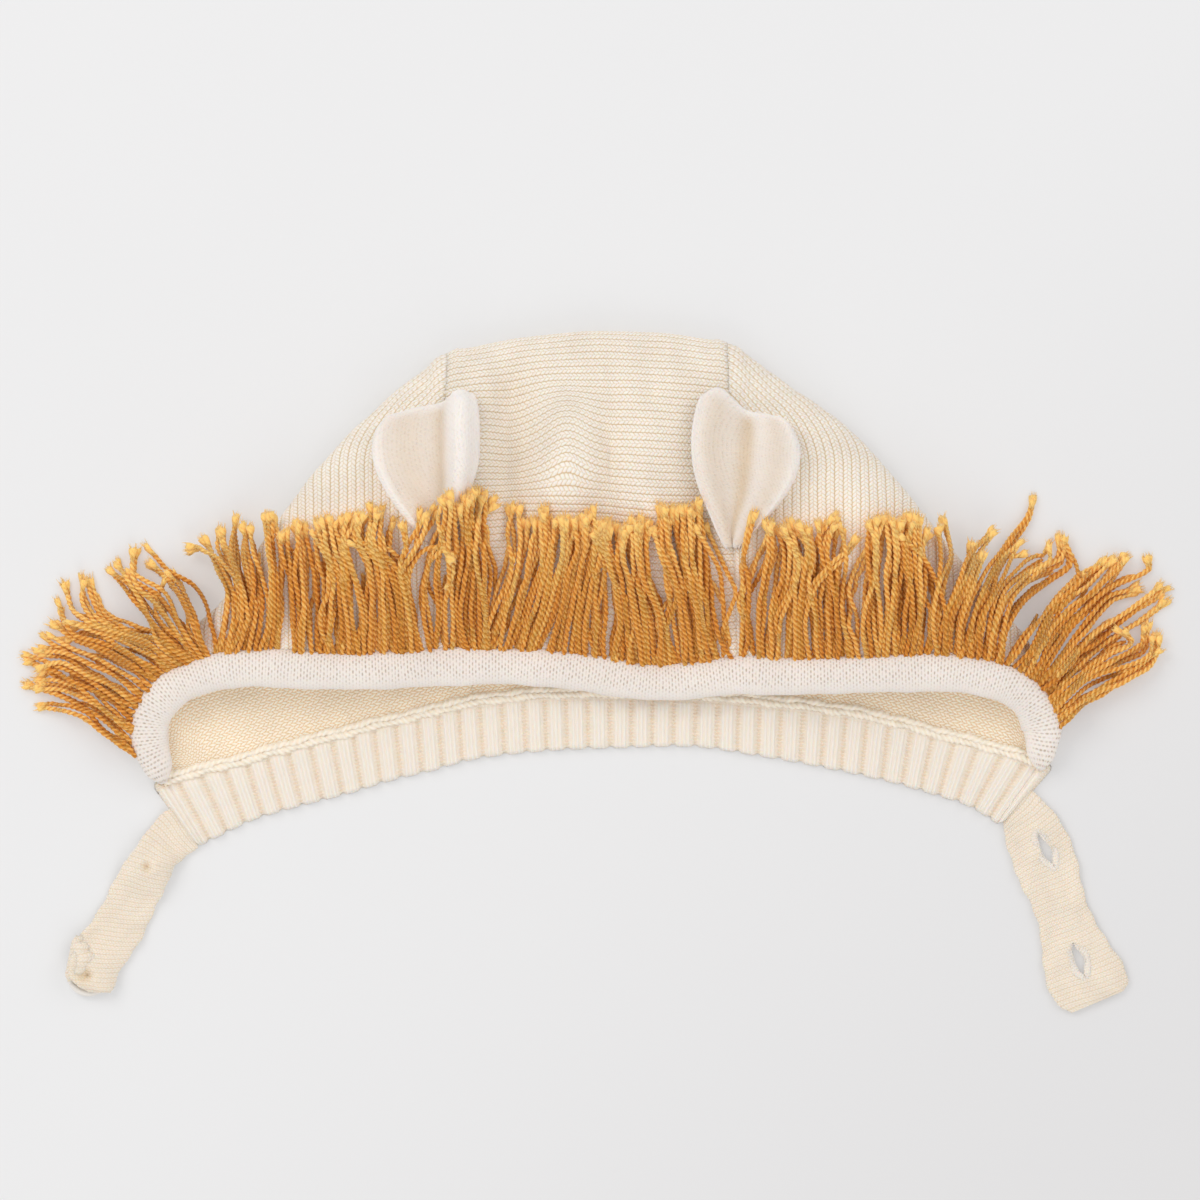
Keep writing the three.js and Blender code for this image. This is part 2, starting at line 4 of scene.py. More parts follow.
import bpy
import numpy as np
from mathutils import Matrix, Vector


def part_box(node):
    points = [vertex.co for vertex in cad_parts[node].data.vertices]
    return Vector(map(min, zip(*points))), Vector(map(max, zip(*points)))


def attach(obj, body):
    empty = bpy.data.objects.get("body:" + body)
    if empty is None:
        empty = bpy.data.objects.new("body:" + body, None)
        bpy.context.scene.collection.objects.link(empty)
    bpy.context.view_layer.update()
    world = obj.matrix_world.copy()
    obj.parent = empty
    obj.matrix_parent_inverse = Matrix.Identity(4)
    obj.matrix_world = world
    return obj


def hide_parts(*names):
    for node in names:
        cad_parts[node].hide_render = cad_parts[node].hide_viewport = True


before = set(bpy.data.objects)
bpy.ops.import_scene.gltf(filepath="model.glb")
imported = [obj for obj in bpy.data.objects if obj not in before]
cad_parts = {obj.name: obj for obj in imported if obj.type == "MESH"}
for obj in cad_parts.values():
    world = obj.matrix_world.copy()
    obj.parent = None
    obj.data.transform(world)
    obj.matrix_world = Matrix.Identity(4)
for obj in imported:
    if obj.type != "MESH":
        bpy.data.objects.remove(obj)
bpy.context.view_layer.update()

# Measures of the hat in millimetres, the same as the CAD model's.
hat = dict(
    halfWidth=165.0, crownDepth=111.5, faceDrop=48.0, crownHeight=26.0, archRise=8.0, wall=2.2,
    foldRadius=4.5, cornerRadius=2.4, gap=0.3, trimWidth=13.2, trimHeight=9.0, seamHeight=4.6,
    strapLength=71.0, buttonHeight=3.4,
)
hat["trimRest"] = hat["seamHeight"] + hat["gap"] + 0.2 + hat["trimHeight"] / 2

sectionColumns = ["edgeX", "edgeY", "foldX", "foldY", "neckX", "neckY", "hemX", "hemY", "arch", "crest"]
sectionRows = np.array([
    [-0.968, -0.956, -0.972, -0.408, -0.953, -1.007, -0.856, -1.467, -0.3, 0.27],
    [-0.996, -0.719, -0.999, -0.306, -0.92, -0.941, -0.839, -1.422, -0.3, 0.27],
    [-0.994, -0.459, -1.002, -0.185, -0.877, -0.896, -0.808, -1.37, -0.22, 0.28],
    [-0.953, -0.237, -0.972, -0.07, -0.823, -0.852, -0.77, -1.304, 0.15, 0.34],
    [-0.879, -0.081, -0.899, 0.022, -0.759, -0.793, -0.718, -1.23, 0.55, 0.45],
    [-0.765, 0.007, -0.791, 0.159, -0.658, -0.696, -0.625, -1.141, 0.9, 0.62],
    [-0.636, 0.0, -0.673, 0.414, -0.55, -0.6, -0.526, -1.052, 1.0, 0.78],
    [-0.539, -0.015, -0.554, 0.631, -0.457, -0.519, -0.442, -0.963, 0.9, 0.9],
    [-0.442, -0.007, -0.429, 0.806, -0.363, -0.444, -0.352, -0.889, 0.7, 0.97],
    [-0.348, 0.015, -0.315, 0.936, -0.264, -0.363, -0.255, -0.8, 0.42, 1.0],
    [-0.184, 0.022, -0.163, 0.981, -0.109, -0.304, -0.104, -0.741, 0.15, 1.0],
    [-0.023, -0.022, -0.008, 1.0, 0.053, -0.296, 0.053, -0.719, 0.0, 1.0],
    [0.139, -0.096, 0.135, 0.997, 0.214, -0.311, 0.212, -0.711, 0.0, 1.0],
    [0.305, -0.044, 0.281, 0.968, 0.365, -0.356, 0.361, -0.785, 0.2, 1.0],
    [0.408, -0.052, 0.414, 0.828, 0.457, -0.393, 0.449, -0.837, 0.45, 0.97],
    [0.516, -0.044, 0.544, 0.688, 0.559, -0.444, 0.546, -0.904, 0.7, 0.9],
    [0.623, -0.03, 0.651, 0.516, 0.66, -0.526, 0.64, -0.978, 0.9, 0.8],
    [0.731, -0.022, 0.763, 0.309, 0.755, -0.615, 0.722, -1.059, 1.0, 0.66],
    [0.834, -0.059, 0.871, 0.121, 0.836, -0.689, 0.785, -1.126, 0.9, 0.48],
    [0.914, -0.148, 0.935, 0.0, 0.895, -0.741, 0.821, -1.185, 0.5, 0.35],
    [0.97, -0.311, 0.983, -0.108, 0.929, -0.785, 0.845, -1.237, 0.05, 0.28],
    [1.0, -0.556, 1.004, -0.236, 0.955, -0.822, 0.862, -1.274, -0.25, 0.27],
    [0.991, -0.815, 0.996, -0.354, 0.985, -0.87, 0.877, -1.296, -0.3, 0.27],
])
lastSection = len(sectionRows) - 1
firstSeam, secondSeam = 9, 13

# Soft dents of the crown: x, y, reach in x, reach in y as shares of halfWidth and crownDepth, rise in mm.
dentRows = [
    (-0.182, 0.62, 0.05, 0.32, -10.5), (-0.07, 0.56, 0.05, 0.28, 3.6), (0.03, 0.6, 0.026, 0.2, -5.0),
    (0.1, 0.5, 0.055, 0.2, 2.2), (0.26, 0.45, 0.07, 0.2, -4.5), (0.62, 0.28, 0.08, 0.12, -2.4),
    (-0.6, 0.24, 0.08, 0.12, -2.0), (-0.24, 0.95, 0.03, 0.1, 1.5),
]
strapRoots = dict(left=(-0.903, -1.326), right=(0.918, -1.185))
earRoots = dict(left=(-0.348, 0.331), right=(0.294, 0.325))
buttonPlaces = dict(button_upper=(-0.14, -0.185), button_lower=(-0.435, -0.725))


def boxCentre(node):
    low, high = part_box(node)
    return [(low[i] + high[i]) / 2 for i in range(3)]


def buttonPlace(name):
    root, place = strapRoots["left"], buttonPlaces[name]
    return (
        root[0] * hat["halfWidth"] + place[0] * hat["strapLength"],
        root[1] * hat["faceDrop"] + place[1] * hat["strapLength"],
    )


# The tables count from the middle of the forehead edge, the CAD frame from the middle of the hat's box.
upperButton = buttonPlace("button_upper")
frameShift = np.array([boxCentre("button_upper")[i] * 1000 - upperButton[i] for i in range(2)] + [0.0])

mix = lambda a, b, t: a + (b - a) * t
ease = lambda t: np.clip(t, 0, 1) ** 2 * (3 - 2 * np.clip(t, 0, 1))
unit = lambda v: v / np.maximum(np.linalg.norm(v, axis=-1, keepdims=True), 1e-9)


def smoothValue(values, u, low, high):
    # a smooth line through the values low to high, as the CAD model draws it
    i = np.clip(np.floor(u), low, high - 1).astype(int)
    t = u - i

    def at(k):
        value = values[np.clip(k, low, high)]
        value = np.where(k < low, 2 * values[low] - values[low + 1], value)
        return np.where(k > high, 2 * values[high] - values[high - 1], value)

    a, b, c, d = at(i - 1), at(i), at(i + 1), at(i + 2)
    return b + 0.5 * t * (c - a + t * (2 * a - 5 * b + 4 * c - d + t * (3 * (b - c) + d - a)))


def sectionAt(u):
    u = np.asarray(u, float)

    def read(name):
        values = sectionRows[:, sectionColumns.index(name)]
        if not name.startswith("fold"):
            return smoothValue(values, u, 0, lastSection)
        spans = [(0, firstSeam), (firstSeam, secondSeam), (secondSeam, lastSection)]
        left, middle, right = [smoothValue(values, u, low, high) for low, high in spans]
        return np.where(u < firstSeam, left, np.where(u < secondSeam, middle, right))

    def pair(name, scaleX, scaleY):
        return np.stack([read(name + "X") * scaleX, read(name + "Y") * scaleY], axis=-1)

    return dict(
        edge=pair("edge", hat["halfWidth"], hat["faceDrop"]),
        fold=pair("fold", hat["halfWidth"], hat["crownDepth"]),
        neck=pair("neck", hat["halfWidth"], hat["faceDrop"]),
        hem=pair("hem", hat["halfWidth"], hat["faceDrop"]),
        edgeHeight=hat["trimRest"] + read("arch") * hat["archRise"],
        crestHeight=read("crest") * hat["crownHeight"],
    )


def middlePoint(u, v):
    # middle of the knitted wall: v is 0 at the face edge, 1 at the fold, 2 under it, 3 at the neckband
    u, v = np.broadcast_arrays(np.asarray(u, float), np.asarray(v, float))
    part = sectionAt(u)
    edge, fold, neck = part["edge"], part["fold"], part["neck"]
    away = np.linalg.norm(fold - neck, axis=-1)
    radius = mix(hat["cornerRadius"], hat["foldRadius"], ease((away - 8) / 40))
    nose = hat["wall"] / 2 + radius
    s = 1 - (1 - np.clip(v, 0, 1)) ** 2
    top = mix(edge, fold, s[..., None])
    body = mix(part["edgeHeight"], part["crestHeight"], ease(s / 0.5))
    dent = sum(
        rise * np.exp(-((top[..., 0] / hat["halfWidth"] - x) / reachX) ** 2
                      - ((top[..., 1] / hat["crownDepth"] - y) / reachY) ** 2)
        for x, y, reachX, reachY, rise in dentRows
    )
    height = nose + (body - nose) * np.sqrt(1 - s ** 3) + dent * ease(s / 0.15) * ease((1 - s) / 0.2)
    angle = np.clip(v - 1, 0, 1) * math.pi / 2
    along = np.where(v <= 2, radius * (1 - np.cos(angle)) / away, mix(radius / away, 1.0, v - 2))
    under = mix(fold, neck, along[..., None])
    low = np.where(v <= 2, nose - radius * np.sin(angle), hat["wall"] / 2)
    plan = np.where((v <= 1)[..., None], top, under)
    return np.concatenate([plan, np.where(v <= 1, height, low)[..., None]], axis=-1)


def wallNormal(u, v):
    along = middlePoint(np.minimum(u + 0.05, lastSection), v) - middlePoint(np.maximum(u - 0.05, 0), v)
    across = middlePoint(u, np.minimum(v + 0.02, 3)) - middlePoint(u, np.maximum(v - 0.02, 0))
    return unit(np.cross(along, across))


def outwardAt(u):
    along = sectionAt(np.minimum(u + 0.1, lastSection))["edge"] - sectionAt(np.maximum(u - 0.1, 0))["edge"]
    return unit(np.stack([-along[..., 1], along[..., 0]], axis=-1))


def lengthAlong(points):
    # the way from a line's first point to each of its points
    step = np.linalg.norm(np.diff(points, axis=0), axis=1)
    return np.concatenate([[0], np.cumsum(step)])


def paired(first, second):
    # two values at every point of a grid
    return np.stack(np.broadcast_arrays(first, second), axis=-1)


def evenAlong(line):
    # the section number at a share of a line's length
    fine = np.linspace(0, lastSection, 1200)
    length = lengthAlong(line(fine))
    return (lambda share: np.interp(share * length[-1], length, fine)), length[-1]


print("hat's shape read")


def gridQuads(rows, columns, start=0, flip=False):
    i, j = np.meshgrid(np.arange(rows - 1), np.arange(columns - 1), indexing="ij")
    a = (start + i * columns + j).ravel()
    quads = np.stack([a, a + columns, a + columns + 1, a + 1], axis=1)
    return quads[:, ::-1] if flip else quads


def ringQuads(rings, count, start=0):
    # the skin between closed rings of points
    i, j = np.meshgrid(np.arange(rings - 1), np.arange(count), indexing="ij")
    a = (start + i * count + j).ravel()
    b = (start + i * count + (j + 1) % count).ravel()
    return np.stack([a, b, b + count, a + count], axis=1)


def closedTube(rings, count, start=0, flip=False):
    # the skin between rings of points, with a cap on both ends
    first = start + np.arange(count)
    faces = [ringQuads(rings, count, start), first[None, ::-1], first[None, :] + (rings - 1) * count]
    return [group[:, ::-1] for group in faces] if flip else faces


def zipStrip(first, firstAt, second, secondAt):
    # triangles between two lines of points with different spacings
    i = j = 0
    faces = []
    while i < len(first) - 1 or j < len(second) - 1:
        if j == len(second) - 1 or (i < len(first) - 1 and firstAt[i + 1] <= secondAt[j + 1]):
            faces.append((first[i], first[i + 1], second[j]))
            i += 1
        else:
            faces.append((first[i], second[j + 1], second[j]))
            j += 1
    return np.array(faces)


def addPiece(name, points, faces, material, maps=None, tones=None):
    # points in mm in the tables' frame; faces a list of arrays, each with faces of one size
    points = (np.asarray(points).reshape(-1, 3) + frameShift) / 1000
    mesh = bpy.data.meshes.new(name)
    mesh.vertices.add(len(points))
    mesh.vertices.foreach_set("co", points.astype(np.float32).ravel())
    loops = np.concatenate([np.asarray(f).ravel() for f in faces]).astype(np.int32)
    sizes = np.concatenate([np.full(len(f), np.asarray(f).shape[1]) for f in faces])
    mesh.loops.add(len(loops))
    mesh.loops.foreach_set("vertex_index", loops)
    mesh.polygons.add(len(sizes))
    mesh.polygons.foreach_set("loop_start", np.concatenate([[0], np.cumsum(sizes)[:-1]]).astype(np.int32))
    mesh.update(calc_edges=True)
    for label, values in (maps or {}).items():
        layer = mesh.uv_layers.new(name=label)
        layer.data.foreach_set("uv", np.asarray(values).reshape(-1, 2)[loops].astype(np.float32).ravel())
    if tones is not None:
        tone = mesh.attributes.new("tone", "FLOAT", "POINT")
        tone.data.foreach_set("value", np.asarray(tones).astype(np.float32).ravel())
    mesh.shade_smooth()
    mesh.materials.append(material)
    piece = bpy.data.objects.new(name, mesh)
    bpy.context.scene.collection.objects.link(piece)
    return piece


def toLinear(colour):
    parts = [int(colour[i:i + 2], 16) / 255 for i in (1, 3, 5)]
    return [c / 12.92 if c <= 0.04045 else ((c + 0.055) / 1.055) ** 2.4 for c in parts] + [1.0]


def addNode(tree, kind, settings, inputs):
    # adds a node, sets it up, links what comes in, and gives its first output
    node = tree.nodes.new(kind)
    for name, value in settings.items():
        setattr(node, name, value)
    for key, value in inputs.items():
        if isinstance(value, bpy.types.NodeSocket):
            tree.links.new(value, node.inputs[key])
        else:
            node.inputs[key].default_value = value
    return node.outputs[0] if node.outputs else None


def newMaterial(name):
    material = bpy.data.materials.new(name)
    material.use_nodes = True
    material.node_tree.nodes.clear()
    return material, material.node_tree


# How far light spreads inside cotton and yarn, depth in metres, and how broad their sheen is.
inside = dict(reach=(1.0, 0.76, 0.55), depth=0.0016, sheenRoughness=0.45)


def finishMaterial(tree, colour, height, depth, finish, glow=0.0):
    # colour and height run over the surface; depth is the height's real size in metres
    normal = addNode(tree, "ShaderNodeBump", {}, {
        "Strength": finish["bump"], "Distance": depth, "Height": height,
    })
    # glow makes the surface glow in its own colour: painted light, used to lift shaded yarn and knit
    surface = addNode(tree, "ShaderNodeBsdfPrincipled", {}, {
        "Base Color": colour, "Roughness": finish["roughness"], "Normal": normal,
        "Sheen Weight": finish["sheen"], "Sheen Roughness": inside["sheenRoughness"], "IOR": finish["ior"],
        "Specular IOR Level": finish["specular"], "Subsurface Weight": finish["inside"],
        "Subsurface Radius": inside["reach"], "Subsurface Scale": inside["depth"],
        "Emission Color": colour, "Emission Strength": glow,
    })
    addNode(tree, "ShaderNodeOutputMaterial", {}, {"Surface": surface})


def garterCotton(name, values):
    # Combed cotton yarn, machine knitted in garter stitch: matt, soft broad ridges of two rows of small
    # leaning loops, the furrows between them painted warmer and darker, partly the yarn behind and partly
    # painted shade. The hat's inside is painted lighter and warmer and glows a little: painted light.
    material, tree = newMaterial(name)
    place = addNode(tree, "ShaderNodeUVMap", {"uv_map": "knit"}, {})
    waver = addNode(tree, "ShaderNodeTexNoise", {}, {"Vector": place, "Scale": 0.35, "Detail": 2.0})
    waver = addNode(tree, "ShaderNodeMath", {"operation": "SUBTRACT"}, {0: waver, 1: 0.5})
    ridge = addNode(tree, "ShaderNodeSeparateXYZ", {}, {"Vector": place})
    loop = ridge.node.outputs[1]
    ridge = addNode(tree, "ShaderNodeMath", {"operation": "MULTIPLY_ADD"}, {0: waver, 1: 0.12, 2: ridge})
    loop = addNode(tree, "ShaderNodeMath", {"operation": "MULTIPLY_ADD"}, {0: waver, 1: 1.2, 2: loop})
    half = addNode(tree, "ShaderNodeMath", {"operation": "MULTIPLY"}, {0: ridge, 1: 2.0})
    half = addNode(tree, "ShaderNodeMath", {"operation": "FLOOR"}, {0: half})
    loop = addNode(tree, "ShaderNodeMath", {"operation": "MULTIPLY_ADD"}, {0: half, 1: 0.5, 2: loop})
    turn = addNode(tree, "ShaderNodeMath", {"operation": "MULTIPLY"}, {0: ridge, 1: 2 * math.pi})
    lean = addNode(tree, "ShaderNodeMath", {"operation": "COSINE"}, {0: turn})
    loop = addNode(tree, "ShaderNodeMath", {"operation": "MULTIPLY_ADD"}, {
        0: lean, 1: values["lean"], 2: loop,
    })
    loop = addNode(tree, "ShaderNodeMath", {"operation": "MULTIPLY"}, {0: loop, 1: math.pi})
    loop = addNode(tree, "ShaderNodeMath", {"operation": "SINE"}, {0: loop})
    loop = addNode(tree, "ShaderNodeMath", {"operation": "ABSOLUTE"}, {0: loop})
    line = addNode(tree, "ShaderNodeMath", {"operation": "SINE"}, {0: turn})
    line = addNode(tree, "ShaderNodeMath", {"operation": "ABSOLUTE"}, {0: line})
    line = addNode(tree, "ShaderNodeMath", {"operation": "POWER"}, {0: line, 1: 0.55})
    stitch = addNode(tree, "ShaderNodeMath", {"operation": "MULTIPLY"}, {0: line, 1: loop})
    furrow = addNode(tree, "ShaderNodeMath", {"operation": "FRACT"}, {0: ridge})
    furrow = addNode(tree, "ShaderNodeMath", {"operation": "MULTIPLY_ADD"}, {0: furrow, 1: 2.0, 2: -1.0})
    furrow = addNode(tree, "ShaderNodeMath", {"operation": "ABSOLUTE"}, {0: furrow})
    furrow = addNode(tree, "ShaderNodeMath", {"operation": "POWER"}, {0: furrow, 1: values["furrow"]})
    ground = addNode(tree, "ShaderNodeMath", {"operation": "MULTIPLY_ADD"}, {
        0: furrow, 1: -values["ground"], 2: values["ground"],
    })
    side = addNode(tree, "ShaderNodeUVMap", {"uv_map": "shadeMasks"}, {})
    side = addNode(tree, "ShaderNodeSeparateXYZ", {}, {"Vector": side})
    ground = addNode(tree, "ShaderNodeMix", {}, {0: side, 2: ground, 3: values["innerGround"]})
    height = addNode(tree, "ShaderNodeMath", {"operation": "MULTIPLY_ADD"}, {0: stitch, 1: 0.75, 2: ground})
    fibre = addNode(tree, "ShaderNodeTexNoise", {}, {"Vector": place, "Scale": 3.5, "Detail": 4.0})
    height = addNode(tree, "ShaderNodeMath", {"operation": "MULTIPLY_ADD"}, {0: fibre, 1: 0.34, 2: height})
    shade = addNode(tree, "ShaderNodeMapRange", {"interpolation_type": "SMOOTHSTEP"}, {
        "Value": height, "From Min": 0.12, "From Max": values["full"],
    })
    # painted light and shade: the marked side, the hat's inside or a strap's shaded spot, is shifted lighter
    # or darker and tinted warm
    shade = addNode(tree, "ShaderNodeMath", {"operation": "MULTIPLY_ADD", "use_clamp": True}, {
        0: side, 1: -values["inner"], 2: shade,
    })
    # painted shade: the furrows take the darker furrow colour, partly the yarn behind and partly shade
    colour = addNode(tree, "ShaderNodeMix", {"data_type": "RGBA"}, {
        "Factor": shade, 6: toLinear(values["furrowShadeColour"]), 7: toLinear(values["yarnColour"]),
    }).node.outputs[2]
    colour = addNode(tree, "ShaderNodeMix", {"data_type": "RGBA", "blend_type": "MULTIPLY"}, {
        "Factor": side, 6: colour, 7: toLinear(values["shadeTint"]),
    }).node.outputs[2]
    patches = addNode(tree, "ShaderNodeTexNoise", {}, {"Vector": place, "Scale": 0.11, "Detail": 3.0})
    patches = addNode(tree, "ShaderNodeMapRange", {}, {
        "Value": patches, "From Min": 0.3, "From Max": 0.7, "To Min": 0.93, "To Max": 1.03,
    })
    colour = addNode(tree, "ShaderNodeVectorMath", {"operation": "SCALE"}, {0: colour, "Scale": patches})
    # painted light: the hat's inside and the knit under the fringe glow a little in their own colour
    fringeGlow = addNode(tree, "ShaderNodeMath", {"operation": "MULTIPLY"}, {
        0: side.node.outputs[1], 1: values["fringeGlow"],
    })
    through = addNode(tree, "ShaderNodeMath", {"operation": "MULTIPLY_ADD"}, {
        0: side, 1: values["through"], 2: fringeGlow,
    })
    finishMaterial(tree, colour, height, values["depth"] / 1000, values["finish"], through)
    return material


def jerseyCotton(name, values):
    # Fine cotton jersey, machine knitted and washed soft: matt white, with staggered columns of pinholes
    # where the stitches meet.
    material, tree = newMaterial(name)
    place = addNode(tree, "ShaderNodeUVMap", {"uv_map": "knit"}, {})
    waver = addNode(tree, "ShaderNodeTexNoise", {}, {"Vector": place, "Scale": 0.2, "Detail": 2.0})
    waver = addNode(tree, "ShaderNodeMath", {"operation": "SUBTRACT"}, {0: waver, 1: 0.5})
    wale = addNode(tree, "ShaderNodeSeparateXYZ", {}, {"Vector": place})
    course = wale.node.outputs[1]
    wale = addNode(tree, "ShaderNodeMath", {"operation": "MULTIPLY_ADD"}, {0: waver, 1: 0.8, 2: wale})
    column = addNode(tree, "ShaderNodeMath", {"operation": "FLOOR"}, {0: wale})
    course = addNode(tree, "ShaderNodeMath", {"operation": "MULTIPLY_ADD"}, {0: column, 1: 0.5, 2: course})
    across = addNode(tree, "ShaderNodeMath", {"operation": "FRACT"}, {0: wale})
    across = addNode(tree, "ShaderNodeMath", {"operation": "SUBTRACT"}, {0: across, 1: 0.5})
    along = addNode(tree, "ShaderNodeMath", {"operation": "FRACT"}, {0: course})
    along = addNode(tree, "ShaderNodeMath", {"operation": "SUBTRACT"}, {0: along, 1: 0.5})
    along = addNode(tree, "ShaderNodeMath", {"operation": "MULTIPLY"}, {0: along, 1: 0.62})
    spot = addNode(tree, "ShaderNodeCombineXYZ", {}, {"X": across, "Y": along, "Z": 0.0})
    spot = addNode(tree, "ShaderNodeVectorMath", {"operation": "LENGTH"}, {0: spot}).node.outputs[1]
    pinhole = addNode(tree, "ShaderNodeMapRange", {"interpolation_type": "SMOOTHSTEP"}, {
        "Value": spot, "From Min": values["holeSize"], "From Max": 0.08, "To Min": 0.0, "To Max": 1.0,
    })
    uneven = addNode(tree, "ShaderNodeTexNoise", {}, {"Vector": place, "Scale": 0.9, "Detail": 1.0})
    uneven = addNode(tree, "ShaderNodeMapRange", {}, {
        "Value": uneven, "From Min": 0.35, "From Max": 0.6, "To Min": 0.25, "To Max": 1.0,
    })
    pinhole = addNode(tree, "ShaderNodeMath", {"operation": "MULTIPLY"}, {0: pinhole, 1: uneven})
    shadeMasks = addNode(tree, "ShaderNodeUVMap", {"uv_map": "shadeMasks"}, {})
    pinholesShown = addNode(tree, "ShaderNodeSeparateXYZ", {}, {"Vector": shadeMasks})
    creaseShade = pinholesShown.node.outputs[1]
    # painted light: the pinholes fade where the mask says, on the rolled edge's front side
    pinhole = addNode(tree, "ShaderNodeMath", {"operation": "MULTIPLY"}, {0: pinhole, 1: pinholesShown})
    walls = addNode(tree, "ShaderNodeMath", {"operation": "ABSOLUTE"}, {0: across})
    fibre = addNode(tree, "ShaderNodeTexNoise", {}, {"Vector": place, "Scale": 2.8, "Detail": 4.0})
    height = addNode(tree, "ShaderNodeMath", {"operation": "MULTIPLY_ADD"}, {0: walls, 1: -0.9, 2: fibre})
    height = addNode(tree, "ShaderNodeMath", {"operation": "SUBTRACT"}, {0: height, 1: pinhole})
    # pinholes darken to their colour; on the ears the same colour is painted shade over the inner face
    shade = addNode(tree, "ShaderNodeMath", {"operation": "MULTIPLY_ADD", "use_clamp": True}, {
        0: pinhole, 1: values["holeTone"], 2: creaseShade,
    })
    colour = addNode(tree, "ShaderNodeMix", {"data_type": "RGBA"}, {
        "Factor": shade, 6: toLinear(values["yarnColour"]), 7: toLinear(values["holeAndShadeColour"]),
    }).node.outputs[2]
    patches = addNode(tree, "ShaderNodeTexNoise", {}, {"Vector": place, "Scale": 0.06, "Detail": 3.0})
    patches = addNode(tree, "ShaderNodeMapRange", {}, {
        "Value": patches, "From Min": 0.3, "From Max": 0.7, "To Min": 0.95, "To Max": 1.02,
    })
    colour = addNode(tree, "ShaderNodeVectorMath", {"operation": "SCALE"}, {0: colour, "Scale": patches})
    finishMaterial(tree, colour, height, values["depth"] / 1000, values["finish"])
    return material


def ribbedCotton(name, values):
    # The same cotton knitted in a wide rib: fine lines of stitches along each rib, a cross-grained purl
    # furrow between two ribs painted warmer and darker as shade in the recess, the raised ribs painted
    # lighter.
    material, tree = newMaterial(name)
    place = addNode(tree, "ShaderNodeUVMap", {"uv_map": "knit"}, {})
    rib = addNode(tree, "ShaderNodeSeparateXYZ", {}, {"Vector": place})
    course = rib.node.outputs[1]
    raised = addNode(tree, "ShaderNodeUVMap", {"uv_map": "relief"}, {})
    raised = addNode(tree, "ShaderNodeSeparateXYZ", {}, {"Vector": raised})
    waver = addNode(tree, "ShaderNodeTexNoise", {}, {"Vector": place, "Scale": 0.8, "Detail": 2.0})
    waver = addNode(tree, "ShaderNodeMath", {"operation": "SUBTRACT"}, {0: waver, 1: 0.5})
    line = addNode(tree, "ShaderNodeMath", {"operation": "MULTIPLY"}, {
        0: rib, 1: 2 * math.pi * values["linesPerRib"],
    })
    line = addNode(tree, "ShaderNodeMath", {"operation": "ADD"}, {0: line, 1: waver})
    line = addNode(tree, "ShaderNodeMath", {"operation": "SINE"}, {0: line})
    grain = addNode(tree, "ShaderNodeMath", {"operation": "MULTIPLY_ADD"}, {0: line, 1: 0.12, 2: course})
    grain = addNode(tree, "ShaderNodeMath", {"operation": "MULTIPLY"}, {0: grain, 1: 2 * math.pi})
    grain = addNode(tree, "ShaderNodeMath", {"operation": "SINE"}, {0: grain})
    pattern = addNode(tree, "ShaderNodeMix", {}, {0: raised, 2: grain, 3: line})
    pattern = addNode(tree, "ShaderNodeMath", {"operation": "MULTIPLY_ADD"}, {0: pattern, 1: 0.5, 2: 0.5})
    fibre = addNode(tree, "ShaderNodeTexNoise", {}, {"Vector": place, "Scale": 9.0, "Detail": 4.0})
    height = addNode(tree, "ShaderNodeMath", {"operation": "MULTIPLY_ADD"}, {0: fibre, 1: 0.5, 2: pattern})
    # painted light and shade: the raised ribs lighter, the purl furrows darker
    shade = addNode(tree, "ShaderNodeMath", {"operation": "MULTIPLY_ADD"}, {0: raised, 1: 0.34, 2: 0.4})
    shade = addNode(tree, "ShaderNodeMath", {"operation": "MULTIPLY_ADD", "use_clamp": True}, {
        0: pattern, 1: 0.3, 2: shade,
    })
    colour = addNode(tree, "ShaderNodeMix", {"data_type": "RGBA"}, {
        "Factor": shade, 6: toLinear(values["furrowShadeColour"]), 7: toLinear(values["yarnColour"]),
    }).node.outputs[2]
    finishMaterial(tree, colour, height, values["depth"] / 1000, values["finish"])
    return material


